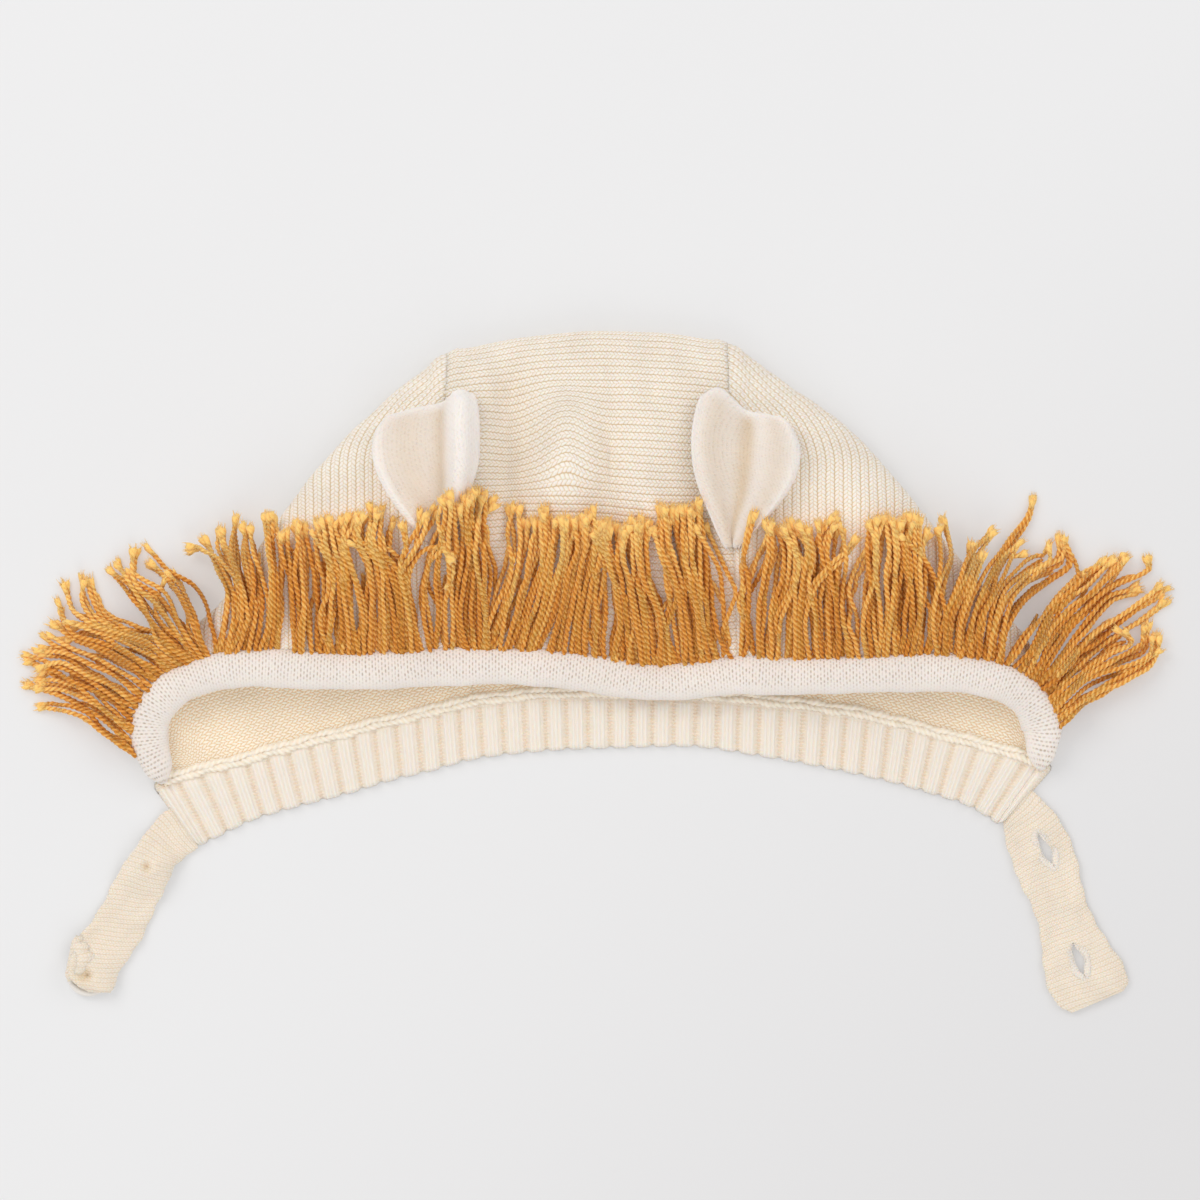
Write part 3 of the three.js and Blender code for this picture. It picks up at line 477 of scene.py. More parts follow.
def twistedYarn(name, values):
    # Two-ply yarn of soft synthetic staple, spun and twisted: matt mustard, painted darker between the plies
    # as shade, paler where it frays at the cut ends; it glows a little, most at the tips, as painted light.
    material, tree = newMaterial(name)
    place = addNode(tree, "ShaderNodeUVMap", {"uv_map": "yarn"}, {})
    around = addNode(tree, "ShaderNodeSeparateXYZ", {}, {"Vector": place})
    along = around.node.outputs[1]
    strand = addNode(tree, "ShaderNodeMath", {"operation": "ADD"}, {0: around, 1: along})
    strand = addNode(tree, "ShaderNodeCombineXYZ", {}, {"X": strand, "Y": along, "Z": 0.0})
    strand = addNode(tree, "ShaderNodeVectorMath", {"operation": "MULTIPLY"}, {0: strand, 1: (9.0, 0.7, 1.0)})
    fibre = addNode(tree, "ShaderNodeTexNoise", {}, {"Vector": strand, "Scale": 1.0, "Detail": 3.0})
    # painted shade: the yarn darkens in the groove between its two plies
    ply = addNode(tree, "ShaderNodeMath", {"operation": "MULTIPLY"}, {0: around, 1: 4 * math.pi})
    ply = addNode(tree, "ShaderNodeMath", {"operation": "COSINE"}, {0: ply})
    tone = addNode(tree, "ShaderNodeAttribute", {"attribute_name": "tone"}, {}).node.outputs[2]
    shade = addNode(tree, "ShaderNodeMath", {"operation": "MULTIPLY_ADD"}, {0: ply, 1: 0.2, 2: tone})
    shade = addNode(tree, "ShaderNodeMath", {"operation": "MULTIPLY_ADD", "use_clamp": True}, {
        0: fibre, 1: 0.5, 2: shade,
    })
    colour = addNode(tree, "ShaderNodeValToRGB", {}, {"Fac": shade})
    stops = colour.node.color_ramp.elements
    stops[0].color, stops[1].color = toLinear(values["deepColour"]), toLinear(values["frayColour"])
    stops.new(0.5).color = toLinear(values["yarnColour"])
    # painted light: the yarn glows a little all over and more at its palest, frayed tips, lifting them out of
    # their shade
    glow = addNode(tree, "ShaderNodeMath", {"operation": "POWER"}, {0: tone, 1: 5.0})
    glow = addNode(tree, "ShaderNodeMath", {"operation": "MULTIPLY_ADD"}, {
        0: glow, 1: values["tipGlow"], 2: values["glow"],
    })
    finishMaterial(tree, colour, fibre, values["depth"] / 1000, values["finish"], glow)
    return material


cottonFinish = dict(bump=0.6, roughness=0.92, sheen=0.12, ior=1.5, specular=0.2, inside=0.35)
# lean: slant of a loop; furrow: how narrow the furrows are; ground: how high the yarn between them lies;
# full: the height with the yarn's full colour; inner: how much darker, or lighter below zero, the hat's
# inside or a strap's shaded spot is painted, as painted shade and light; shadeTint: the warm tint painted
# there;
# through and fringeGlow: how strongly the knit glows there and under the fringe, painted light for light
# bouncing into shade; depth: relief in mm
creamKnit = garterCotton("cotton yarn, garter knitted, cream", dict(
    yarnColour="#fef6ec", furrowShadeColour="#dcc08e", shadeTint="#fcf8f0", lean=0.22, furrow=5.0, full=1.0,
    ground=0.32, innerGround=0.1, inner=-0.14, through=0.16, fringeGlow=0.1, depth=0.6, finish=cottonFinish,
))
strapKnit = garterCotton("cotton yarn, fine garter knitted, cream", dict(
    yarnColour="#f5ebdd", furrowShadeColour="#ead8ba", shadeTint="#efd9a8", lean=0.2, furrow=4.0, full=1.0,
    ground=0.3, innerGround=0.3, inner=0.28, through=0.0, fringeGlow=0.0, depth=0.3, finish=cottonFinish,
))
# holeSize: a pinhole's radius as a share of a stitch; holeTone: how dark it looks
whiteKnit = jerseyCotton("cotton jersey, washed, white", dict(
    yarnColour="#f4ede6", holeAndShadeColour="#b9a692", holeSize=0.35, holeTone=0.78, depth=0.3, finish=cottonFinish,
))
earKnit = jerseyCotton("fine cotton jersey, brushed, white", dict(
    yarnColour="#f8f2ec", holeAndShadeColour="#dcc6a8", holeSize=0.3, holeTone=0.12, depth=0.4, finish=cottonFinish,
))
creamRib = ribbedCotton("cotton yarn, rib knitted, cream", dict(
    yarnColour="#fdf4ea", furrowShadeColour="#ecd6b3", linesPerRib=5.0, depth=0.6, finish=cottonFinish,
))
mustardYarn = twistedYarn("acrylic yarn, two-ply twisted, mustard", dict(
    deepColour="#985118", yarnColour="#d98e36", frayColour="#ffcc7a", depth=0.14, glow=0.02, tipGlow=0.16,
    finish=dict(bump=0.5, roughness=0.85, sheen=0.15, ior=1.5, specular=0.15, inside=0.4),
))
print("knits and yarn made")

# Values of the knitted panels in mm: garter ridge, one stitch of it, relief of a ridge on both faces.
panel = dict(
    ridge=2.62, sideRidge=3.0, insideRidge=2.1, stitch=1.46, relief=0.3, underRelief=0.13, tuck=5.0,
    sidePitch=0.75, longestStep=2.2, centreRows=59, insideStitches=0.75, fringeCover=48.0,
)
# Where each side panel's inside turns round: a point of the fold in mm and the fold's direction in degrees,
# which way its rows lean near the top, and the section its stations are measured on.
sideTurns = dict(left=((-105.0, 52.0), 54, -1, 6.5), right=((112.0, 48.0), 126, 1, 16.0))
# The crown's folds that the rows ride over: rise in mm, x, reach in x, end in y, how soft the end is.
rowFolds = [(5.2, -10.0, 7.5, 96, 16), (-2.6, -29.0, 9.0, 100, 18)]
# Spacing of a panel's points on its outer and its inner face: from v, to v, mm.
stationSpans = dict(
    centre=([(0, 1, 0.4), (1, 2, 0.6), (2, 3, 1.0)], [(0, 1, 5), (1, 2, 1.5), (2, 2.8, 4), (2.8, 3, 0.42)]),
    side=([(0, 1, 2.2), (1, 2, 0.9), (2, 3, 3)], [(0, 1, 5), (1, 2, 1.5), (2, 2.3, 2.5), (2.3, 3, 0.5)]),
)


def ridgeHeight(count, depth):
    phase = np.mod(count, 1.0)
    return depth * (0.72 - np.abs(2 * phase - 1) ** 3)


def softWaves(points):
    # the slow unevenness of a washed knit
    x, y = points[..., 0], points[..., 1]
    return (0.35 * np.sin(x * 0.11 + 1.3 * np.sin(y * 0.05)) * np.sin(y * 0.09 + 0.7)
            + 0.22 * np.sin(x * 0.23 + y * 0.17 + 2.1) + 0.15 * np.sin(y * 0.31 - x * 0.08))


def knitPlace(kind, u, v, points, archLength):
    # ridge count and stitch count at each point of a panel
    x, y = points[..., 0], points[..., 1]
    turned = ease((v - 1.6) / 0.6)
    if kind == "centre":
        fold = sum(
            rise * np.exp(-((x - at) / reach) ** 2) * ease((y - 52) / 18) * ease((end - y) / soft)
            for rise, at, reach, end, soft in rowFolds
        )
        onTop = (archLength(v) - fold) / panel["ridge"]
        below = archLength(2.0) / panel["ridge"] + (archLength(v) - archLength(2.0)) / panel["insideRidge"]
        across = x / panel["stitch"] * np.where(v < 2, 1, panel["insideStitches"])
        return np.where(v < 2, onTop, below), across
    # where the wall turns down over the fold, the pattern follows the wall and not its plan
    step = np.diff(points, axis=1)
    steep = np.linalg.norm(step, axis=-1) - np.linalg.norm(step[..., :2], axis=-1)
    steep = np.concatenate([np.zeros((len(points), 1)), np.cumsum(steep, axis=1)], axis=1)
    fold = np.argmin(np.abs(v[0] - 1.0))
    towards = unit(points[:, fold, :2] - points[:, 0, :2])
    x = x + towards[:, None, 0] * steep * (1 - turned)
    y = y + towards[:, None, 1] * steep * (1 - turned)
    (px, py), degrees, leaning, _ = sideTurns[kind]
    nx, ny = -math.sin(math.radians(degrees)), math.cos(math.radians(degrees))
    away = (x - px) * nx + (y - py) * ny
    mirroredX, mirroredY = x - 2 * away * nx, y - 2 * away * ny
    # from 66 mm up its rows bend till they run along the outline
    above = np.clip(y - 66, 0, 26)
    bent = above ** 2 / 52 + np.clip(y - 92, 0, None)
    top = (x + leaning * bent) / panel["sideRidge"]
    below = px / panel["sideRidge"] + (mirroredX - px) / panel["insideRidge"]
    return mix(top, below, turned), mix(y, panel["insideStitches"] * mirroredY, turned) / panel["stitch"]


def panelStations(kind, first, last):
    # rows along the face edge, and the stations from the face edge to the neckband on both faces
    fine = np.linspace(first, last, 2000)
    if kind == "centre":
        rows = np.linspace(first, last, panel["centreRows"])
        middle = (first + last) / 2
    else:
        path = middlePoint(fine, 0.5)
        step = np.maximum(np.abs(np.diff(path[:, 0])) / panel["sidePitch"],
                          np.linalg.norm(np.diff(path, axis=0), axis=1) / panel["longestStep"])
        count = np.concatenate([[0], np.cumsum(step)])
        rows = np.interp(np.linspace(0, count[-1], int(count[-1]) + 1), count, fine)
        middle = sideTurns[kind][3]
    across = np.linspace(0, 3, 3001)
    length = lengthAlong(middlePoint(middle, across))
    archLength = lambda v: np.interp(v, across, length)

    def spaced(spans):
        stations = [[0.0]]
        for low, high, pitch in spans:
            low, high = archLength(low), archLength(high)
            count = max(2, int((high - low) / pitch))
            stations.append(np.interp(np.linspace(low, high, count + 1), length, across)[1:])
        return np.concatenate(stations)

    outer, inner = stationSpans["centre" if kind == "centre" else "side"]
    return rows, spaced(outer), spaced(inner), archLength


def makePanel(name, kind, first, last):
    rows, outerAt, innerAt, archLength = panelStations(kind, first, last)

    def face(stations, side):
        # one face of the wall; side is 1 outside and -1 inside
        u, v = np.meshgrid(rows, stations, indexing="ij")
        points, normal = middlePoint(u, v), wallNormal(u, v)
        ridges, stitches = knitPlace(kind, u, v, points, archLength)
        depth = np.where(v < 1.9, panel["relief"], panel["underRelief"])
        lift = ridgeHeight(ridges, depth)
        # a seam lies in a groove and the cloth beside it swells
        nearSeam = 0
        for seam in (firstSeam, secondSeam):
            speed = np.linalg.norm(sectionAt(u + 0.05)["edge"] - sectionAt(u - 0.05)["edge"], axis=-1) / 0.1
            away = np.abs(u - seam) * speed
            nearSeam = nearSeam + 0.45 * np.exp(-(away / 1.0) ** 2) - 0.6 * np.exp(-((away - 3.2) / 1.8) ** 2)
        lift = lift - nearSeam * (v < 1.98) * (side > 0)
        waves = softWaves(points) * ease(v / 0.2) * ease((1.2 - v) / 0.4)
        distance = side * (hat["wall"] / 2 + lift) + waves
        placed = points + normal * distance[..., None]
        # at the face corners the wall draws in under the rolled edge
        corner = ease((3.6 - u) / 1.6) + ease((u - 18.6) / 1.6)
        placed[..., :2] -= outwardAt(u) * (panel["tuck"] * corner * ease((3.4 - v) / 0.8))[..., None]
        placed[..., 2] = np.maximum(placed[..., 2], 0.02)
        # masks for painted light: the hat's inside face, tinted and glowing, and the knit under the fringe,
        # glowing
        shadeMasks = np.full_like(ridges, 0.0 if side > 0 else 1.0) * (v > 1.5)
        under = ease((panel["fringeCover"] - archLength(v)) / 16) * (v < 1) * (side > 0)
        return placed, paired(ridges, stitches), paired(shadeMasks, under)

    outer, outerMap, outerShadeMasks = face(outerAt, 1)
    inner, innerMap, innerShadeMasks = face(innerAt, -1)
    rowCount, outerCount, innerCount = len(rows), len(outerAt), len(innerAt)
    start = rowCount * outerCount
    outerIds = np.arange(start).reshape(rowCount, outerCount)
    innerIds = start + np.arange(rowCount * innerCount).reshape(rowCount, innerCount)
    near = np.stack([outerIds[:-1, 0], innerIds[:-1, 0], innerIds[1:, 0], outerIds[1:, 0]], axis=1)
    far = np.stack([outerIds[:-1, -1], outerIds[1:, -1], innerIds[1:, -1], innerIds[:-1, -1]], axis=1)
    quads = np.concatenate([
        gridQuads(rowCount, outerCount), gridQuads(rowCount, innerCount, start, True), near, far,
    ])
    ends = np.concatenate([
        zipStrip(outerIds[0], outerAt, innerIds[0], innerAt),
        zipStrip(outerIds[-1], outerAt, innerIds[-1], innerAt)[:, ::-1],
    ])
    points = np.concatenate([outer.reshape(-1, 3), inner.reshape(-1, 3)])
    places = np.concatenate([outerMap.reshape(-1, 2), innerMap.reshape(-1, 2)])
    shadeMasks = np.concatenate([outerShadeMasks.reshape(-1, 2), innerShadeMasks.reshape(-1, 2)])
    piece = addPiece(name, points, [quads, ends], creamKnit, {"knit": places, "shadeMasks": shadeMasks})
    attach(piece, "root")
    return piece


centrePanel = makePanel("crown_centre", "centre", firstSeam, secondSeam)
leftPanel = makePanel("crown_side_left", "left", 0, firstSeam)
rightPanel = makePanel("crown_side_right", "right", secondSeam, lastSection)
panels = dict(centre_panel=centrePanel, side_panel_left=leftPanel, side_panel_right=rightPanel)
for node, piece in panels.items():
    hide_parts(node)
print("panels knitted")

# Heights of the hat seen from above, one value a millimetre, for what lies on it.
bed = dict(left=-215.0, front=-130.0, columns=430, rows=260)
bedHeight = np.zeros((bed["columns"], bed["rows"]))


def bedCell(points):
    i = np.clip((points[..., 0] - bed["left"]).astype(int), 1, bed["columns"] - 2)
    j = np.clip((points[..., 1] - bed["front"]).astype(int), 1, bed["rows"] - 2)
    return i, j


def raiseBed(points):
    np.maximum.at(bedHeight, bedCell(points), points[..., 2])


def bedAround(points, heights=bedHeight, gather=np.max):
    # the highest, or the mean, of the nine cells round each point
    i, j = bedCell(points)
    return gather([heights[i + a, j + b] for a in (-1, 0, 1) for b in (-1, 0, 1)], axis=0)


fineU, fineS = np.meshgrid(np.linspace(0, lastSection, 1100), np.linspace(0, 1, 420), indexing="ij")
fineV = 1 - np.sqrt(1 - fineS)
raiseBed(middlePoint(fineU, fineV) + wallNormal(fineU, fineV) * (hat["wall"] / 2 + 0.3))

# The rolled edge of the face opening, in mm: one wale and one course of its jersey, rings along it and
# points round it, unevenness; what its last fade mm run on by; how much its pinholes show on its front side,
# where painted light fades them.
trim = dict(
    wale=1.14, course=1.5, rings=420, around=30, lumps=0.03,
    fade=10.0, ahead=4.4, apart=1.2, drop=1.8, pinholesShown=0.3,
)


def trimCentre(u):
    part = sectionAt(u)
    outward = outwardAt(u)
    facing = np.maximum(0, np.sum(wallNormal(u, 0.02)[..., :2] * outward, axis=-1))
    clear = hat["trimWidth"] / 2 + hat["gap"] + 0.3 + facing * hat["wall"] / 2
    plan = part["edge"] - outward * clear[..., None]
    return np.concatenate([plan, part["edgeHeight"][..., None]], axis=-1), outward


def makeTrim():
    sectionOf, total = evenAlong(lambda u: trimCentre(u)[0][:, :2])
    share = np.linspace(0, 1, trim["rings"])
    centre, outward = trimCentre(sectionOf(share))
    centre[:, :2] += outward * 0.7
    for end, near in ((0, 6), (-1, -7)):
        # the last centimetre runs on over the end of the neckband
        ahead = unit(centre[end] - centre[near])
        fade = np.clip(1 - (share if end == 0 else 1 - share) * total / trim["fade"], 0, 1)[:, None] ** 2
        apart = np.array([np.sign(centre[end][0]) * trim["apart"], 0.0, 0.0])
        centre = centre + fade * (ahead * trim["ahead"] + apart + np.array([0, 0, -trim["drop"]]))
    along = share * total
    angle = np.linspace(0, 2 * math.pi, trim["around"], endpoint=False)
    waves = np.sin(along / 9.0) + 0.7 * np.sin(along / 4.3 + 1.7) + 0.5 * np.sin(along / 2.1)
    lump = 1 + trim["lumps"] * waves
    fromEnd = np.minimum(along, total - along)
    close = np.sqrt(np.clip(fromEnd / 3.0, 0.05, 1)) * (0.66 + 0.34 * ease(fromEnd / 12))
    wide = (hat["trimWidth"] / 2 + 0.25) * lump * close
    high = (hat["trimHeight"] / 2) * (2 - lump) * close
    x = np.cos(angle)[None, :] * wide[:, None]
    z = np.sign(np.sin(angle)) * np.abs(np.sin(angle)) ** 0.9 * high[:, None]
    points = np.concatenate([
        centre[:, None, :2] + outward[:, None, :] * x[..., None], (centre[:, 2][:, None] + z)[..., None],
    ], axis=-1)
    girth = np.pi * (hat["trimWidth"] + hat["trimHeight"]) / 2
    courses = angle / (2 * math.pi) * girth / trim["course"]
    places = paired((along / trim["wale"])[:, None], courses[None, :])
    # painted light: the pinholes fade on the roll's front side, where the front light falls
    pinholesShown = mix(trim["pinholesShown"], 1.0, ease((np.cos(angle) + 0.75) / 0.4))
    shadeMasks = paired(pinholesShown[None, :] + 0 * along[:, None], 0.0)
    faces = closedTube(trim["rings"], trim["around"], flip=True)
    piece = addPiece("face_roll", points, faces, whiteKnit, {"knit": places, "shadeMasks": shadeMasks})
    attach(piece, "root")
    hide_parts("face_trim")
    return piece, points


faceRoll, rollPoints = makeTrim()
print("face roll made")

# The ribbed neckband, in mm: plain thickness, ribs over it, one course across the furrows, points to a
# rib, the ridge the seam lies on, the hem's scallops, the radius of its corners, its lowest point.
neckband = dict(
    gauge=1.8, rib=1.5, ribs=41, course=1.3, perRib=12, seamRise=3.4, seamWidth=3.6, scallop=0.8, round=4.5,
    floor=0.03,
)


def makeNeckband():
    sectionOf, total = evenAlong(lambda u: (sectionAt(u)["neck"] + sectionAt(u)["hem"]) / 2)
    rings = neckband["ribs"] * neckband["perRib"] + 1
    share = np.linspace(0, 1, rings)
    part = sectionAt(sectionOf(share))
    side = part["hem"] - part["neck"]
    length = np.linalg.norm(side, axis=-1)
    side = unit(side)
    phase = np.mod(share * neckband["ribs"] + 0.03 * np.sin(share * 57), 1.0)
    raised = ease(phase / 0.18) - ease((phase - 0.72) / 0.22)
    reach = np.linspace(0, 1, 30) ** 0.9
    fromEnd = np.minimum(share, 1 - share) * total
    beyond = np.clip(neckband["round"] - fromEnd, 0, None)
    corner = neckband["round"] - np.sqrt(neckband["round"] ** 2 - beyond ** 2)
    depth = length + neckband["scallop"] * (raised - 0.5) - 1.6 * corner
    a = 0.6 * corner[:, None] + reach[None, :] * depth[:, None]
    ribHere = ease((a - 2.6) / 1.6)
    rim = np.sqrt(np.clip((a[:, -1:] - a) / 1.0, 0.0, 1.0))
    crown = 0.25 * np.sin(np.clip(phase / 0.8, 0, 1) * math.pi)
    top = neckband["gauge"] + (raised * neckband["rib"] + crown)[:, None] * ribHere
    ridge = np.sin(np.clip(a / neckband["seamWidth"], 0, 1) * math.pi)
    seam = (neckband["seamRise"] - neckband["gauge"]) * ridge
    a = a - 1.3 * (1 - reach[None, :]) ** 8
    start = np.sqrt(np.clip((a + 1.45) / 1.1, 0, 1))
    z = 0.35 + (top - 0.35 + seam) * rim * start
    z = z + 0.18 * np.sin(a * 0.9 + share[:, None] * 60) * ribHere * rim
    # each end is hemmed: a bead along it and a stitched line inside it
    hemmed = 0.9 * np.exp(-((fromEnd - 1.7) / 1.0) ** 2) - 1.0 * np.exp(-((fromEnd - 3.7) / 0.6) ** 2)
    low = neckband["floor"]
    z = low + (z - low) * np.sqrt(np.clip(fromEnd / 1.4, 0.04, 1))[:, None] + hemmed[:, None] * rim * start
    under = reach[::-4][1:-1]
    below = 0.6 * corner[:, None] + under[None, :] * (length - 1.6 * corner)[:, None]
    outline = np.concatenate([a, below], axis=1)
    heights = np.concatenate([z, np.full_like(below, low)], axis=1)
    points = np.concatenate([
        part["neck"][:, None, :] + side[:, None, :] * outline[..., None], heights[..., None],
    ], axis=-1)
    places = paired((share * neckband["ribs"])[:, None], outline / neckband["course"])
    relief = paired(np.concatenate([raised[:, None] * ribHere, 0 * below], axis=1), 0.0)
    faces = closedTube(rings, outline.shape[1])
    piece = addPiece("neck_rib", points, faces, creamRib, {"knit": places, "relief": relief})
    return piece, part, side, total


neckRib, neckPart, neckSide, neckLength = makeNeckband()


def tubeAlong(line, radius, around, twist=0.0, waist=0.0, start=0.0):
    # a round or two-ply tube through the points of a line; twist is one turn in mm
    length = lengthAlong(line)
    tangent = unit(np.gradient(line, axis=0))
    side = np.cross(tangent, [0.0, 0.0, 1.0])
    side = unit(np.where(np.linalg.norm(side, axis=-1, keepdims=True) < 0.05, [1.0, 0.0, 0.0], side))
    over = np.cross(side, tangent)
    angle = np.linspace(0, 2 * math.pi, around, endpoint=False)
    turn = start + (2 * math.pi * length / twist if twist else 0 * length)
    out = np.asarray(radius) * (1 - waist * (1 - np.abs(np.cos(angle)) ** 1.3))[None, :]
    real = angle[None, :] + turn[:, None]
    points = line[:, None, :] + (side[:, None, :] * (np.cos(real) * out)[..., None]
                                 + over[:, None, :] * (np.sin(real) * out)[..., None])
    return points, paired((angle / (2 * math.pi))[None, :], (length / (twist or 4.0))[:, None]), length


# The seam's rows of stitches: way from the band's edge, one turn of the yarn and height, in mm; its
# tubes' step along the seam, points round them and their tone.
seamRows = [(-0.5, 4.6, 2.8), (1.5, -4.2, 3.0)]
chain = dict(step=0.36, around=8, thick=1.35, tone=0.62)


def makeChainSeam():
    # two rows of slanting stitches along the neckband's upper edge
    points, places, faces, start = [], [], [], 0
    fine = np.linspace(5, len(neckSide) - 6, int(neckLength / chain["step"]))
    count, around = len(fine), chain["around"]
    index = np.arange(len(neckSide))
    sample = lambda values: np.stack([np.interp(fine, index, values[:, k]) for k in range(2)], axis=-1)
    neck, side = sample(neckPart["neck"]), sample(neckSide)
    for away, turn, rise in seamRows:
        waver = 0.22 * np.sin(fine * 0.21 + away * 3) + 0.2 * np.sin(fine * 0.53 + 2 * away)
        line = np.concatenate([neck + side * (away + waver)[:, None],
                               (rise + 0.5 * waver * np.sin(fine * 0.05))[:, None]], axis=-1)
        thick = chain["thick"] + 0.2 * np.sin(fine * 0.37 + 5 * away) + 0.1 * np.sin(fine * 0.13 + away)
        ring, place, _ = tubeAlong(line, thick[:, None], around, twist=turn, waist=0.3)
        faces += closedTube(count, around, start, flip=True)
        points.append(ring.reshape(-1, 3))
        places.append(place.reshape(-1, 2) * [1, 0.9] + [0, away])
        start += count * around
    piece = addPiece("neck_seam", np.concatenate(points), faces, creamSeam,
                     {"yarn": np.concatenate(places)}, np.full(start, chain["tone"]))
    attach(piece, "root")
    return piece


# painted light: the seam's yarn glows a little, lifting it out of the shade beside the band's edge
creamSeam = twistedYarn("cotton yarn, two-ply, cream", dict(
    deepColour="#e6d0ae", yarnColour="#f5e6d0", frayColour="#fbf1e2", depth=0.2, glow=0.05, tipGlow=0.0,
    finish=cottonFinish,
))
neckSeam = makeChainSeam()
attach(neckRib, "root")
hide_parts("neckband")
print("neckband made")


def makePillow(name, middle, lift, half, material, maps):
    # a flat soft body: a grid of middle points, the way up at each, half thickness at each
    rows, columns = middle.shape[:2]
    over, under = middle + lift * half[..., None], middle - lift * half[..., None]
    under[..., 2] = np.maximum(under[..., 2], 0.03)
    shift = rows * columns
    ids = np.arange(shift).reshape(rows, columns)
    sides = np.concatenate([
        np.stack([ids[:-1, 0], ids[:-1, 0] + shift, ids[1:, 0] + shift, ids[1:, 0]], axis=1),
        np.stack([ids[:-1, -1], ids[1:, -1], ids[1:, -1] + shift, ids[:-1, -1] + shift], axis=1),
        np.stack([ids[0, :-1], ids[0, 1:], ids[0, 1:] + shift, ids[0, :-1] + shift], axis=1),
        np.stack([ids[-1, :-1], ids[-1, :-1] + shift, ids[-1, 1:] + shift, ids[-1, 1:]], axis=1),
    ])
    quads = np.concatenate([gridQuads(rows, columns), gridQuads(rows, columns, shift, True), sides])
    points = np.concatenate([over.reshape(-1, 3), under.reshape(-1, 3)])
    maps = {label: np.tile(values.reshape(-1, 2), (2, 1)) for label, values in maps.items()}
    return addPiece(name, points, [quads], material, maps), points


# Ears from tip to seam, five lines from left to right: x and y of each from the ear's root in mm, then
# the rise of each line over the crown in mm. One lobe lies broad and cupped, the other stands folded.
leftEarRows = np.array([
    [-16.2, 45.1, -6.7, 48.3, 3.3, 50.4, 9.3, 54.7, 14.3, 52.9, 3.4, 1.15, 0.18, 3.85, 1.5],
    [-19.8, 40.5, -7.7, 43.3, 3.3, 45.5, 9.7, 49, 16.1, 48.3, 5.95, 1.72, 0.18, 7.7, 2.5],
    [-21, 34.1, -8.1, 35.5, 3.5, 36.2, 10, 38.4, 16.6, 38.4, 6.8, 2.07, 0.15, 9.35, 3],
    [-19.8, 27, -7.4, 27.3, 3.6, 27.7, 10, 29.1, 16.1, 29.1, 6.8, 2.3, 0.15, 9.35, 3],
    [-16.2, 19.2, -5.6, 19.5, 4, 19.9, 9, 21, 13.6, 21.3, 5.95, 2.07, 0.15, 8.25, 2.5],
    [-10.6, 11, -2.4, 11.7, 4, 12.4, 7.2, 13.1, 10, 13.5, 4.25, 1.61, 0.12, 5.5, 1.8],
    [-4.5, 3.6, 0.1, 4.3, 3.3, 5, 5.4, 5.3, 7.2, 5.7, 2.55, 0.92, 0.09, 2.75, 1],
    [-0.6, 0, 0.8, 0, 2.2, 0.4, 3.6, 0.4, 4.7, 0.7, 0.85, 0.34, 0.06, 0.66, 0.4],
])
rightEarRows = np.array([
    [-10.7, 52.5, -5, 56.1, 4.2, 48.6, 10.6, 47.2, 17.3, 45.4, 1.8, 2.62, 0.24, 1.6, 2.3],
    [-12.8, 48.3, -7.9, 49.7, 3.9, 43.3, 12.7, 42.6, 20.9, 41.2, 3, 5.25, 0.21, 2.56, 3.68],
    [-14.3, 39.7, -10, 39.7, 3.5, 36.2, 13.4, 35.1, 23.4, 34.1, 3.6, 6, 0.15, 3.2, 4.6],
    [-13.9, 29.8, -10, 29.1, 2.8, 27.7, 12.7, 27, 22.3, 26.2, 3.6, 6, 0.12, 3.2, 4.6],
    [-11.4, 20.2, -7.9, 19.9, 2.1, 19.1, 10.6, 18.8, 18.4, 18.4, 3, 5.25, 0.12, 2.88, 4.02],
    [-7.5, 11.3, -5, 11, 0.3, 10.6, 7, 10.6, 12.7, 11.3, 1.92, 3.38, 0.09, 2.24, 2.76],
    [-4.3, 4.2, -2.9, 3.9, -0.4, 3.9, 3.1, 3.9, 6.7, 4.9, 1.2, 1.65, 0.09, 1.28, 1.61],
    [-2.2, 0.3, -1.5, -0, -0.4, -0, 1, -0, 2.1, 0.3, 0.48, 0.45, 0.06, 0.48, 0.57],
])
# Thickness, one wale and one course in mm, points across, how much thicker the rim and thinner the crease
# is, and the stripes of painted shade on each ear's inner face, deepest in the crease: line, reach and depth.
ear = dict(gauge=3.4, wale=1.1, course=1.3, rows=76, columns=64, rim=0.75, crease=0.45, cream=dict(
    ear_left=[(0.9, 0.8, 0.5), (2.0, 0.35, 0.55)],
    ear_right=[(1.2, 0.5, 0.5), (2.1, 0.35, 0.8), (3.2, 0.5, 0.45)],
))


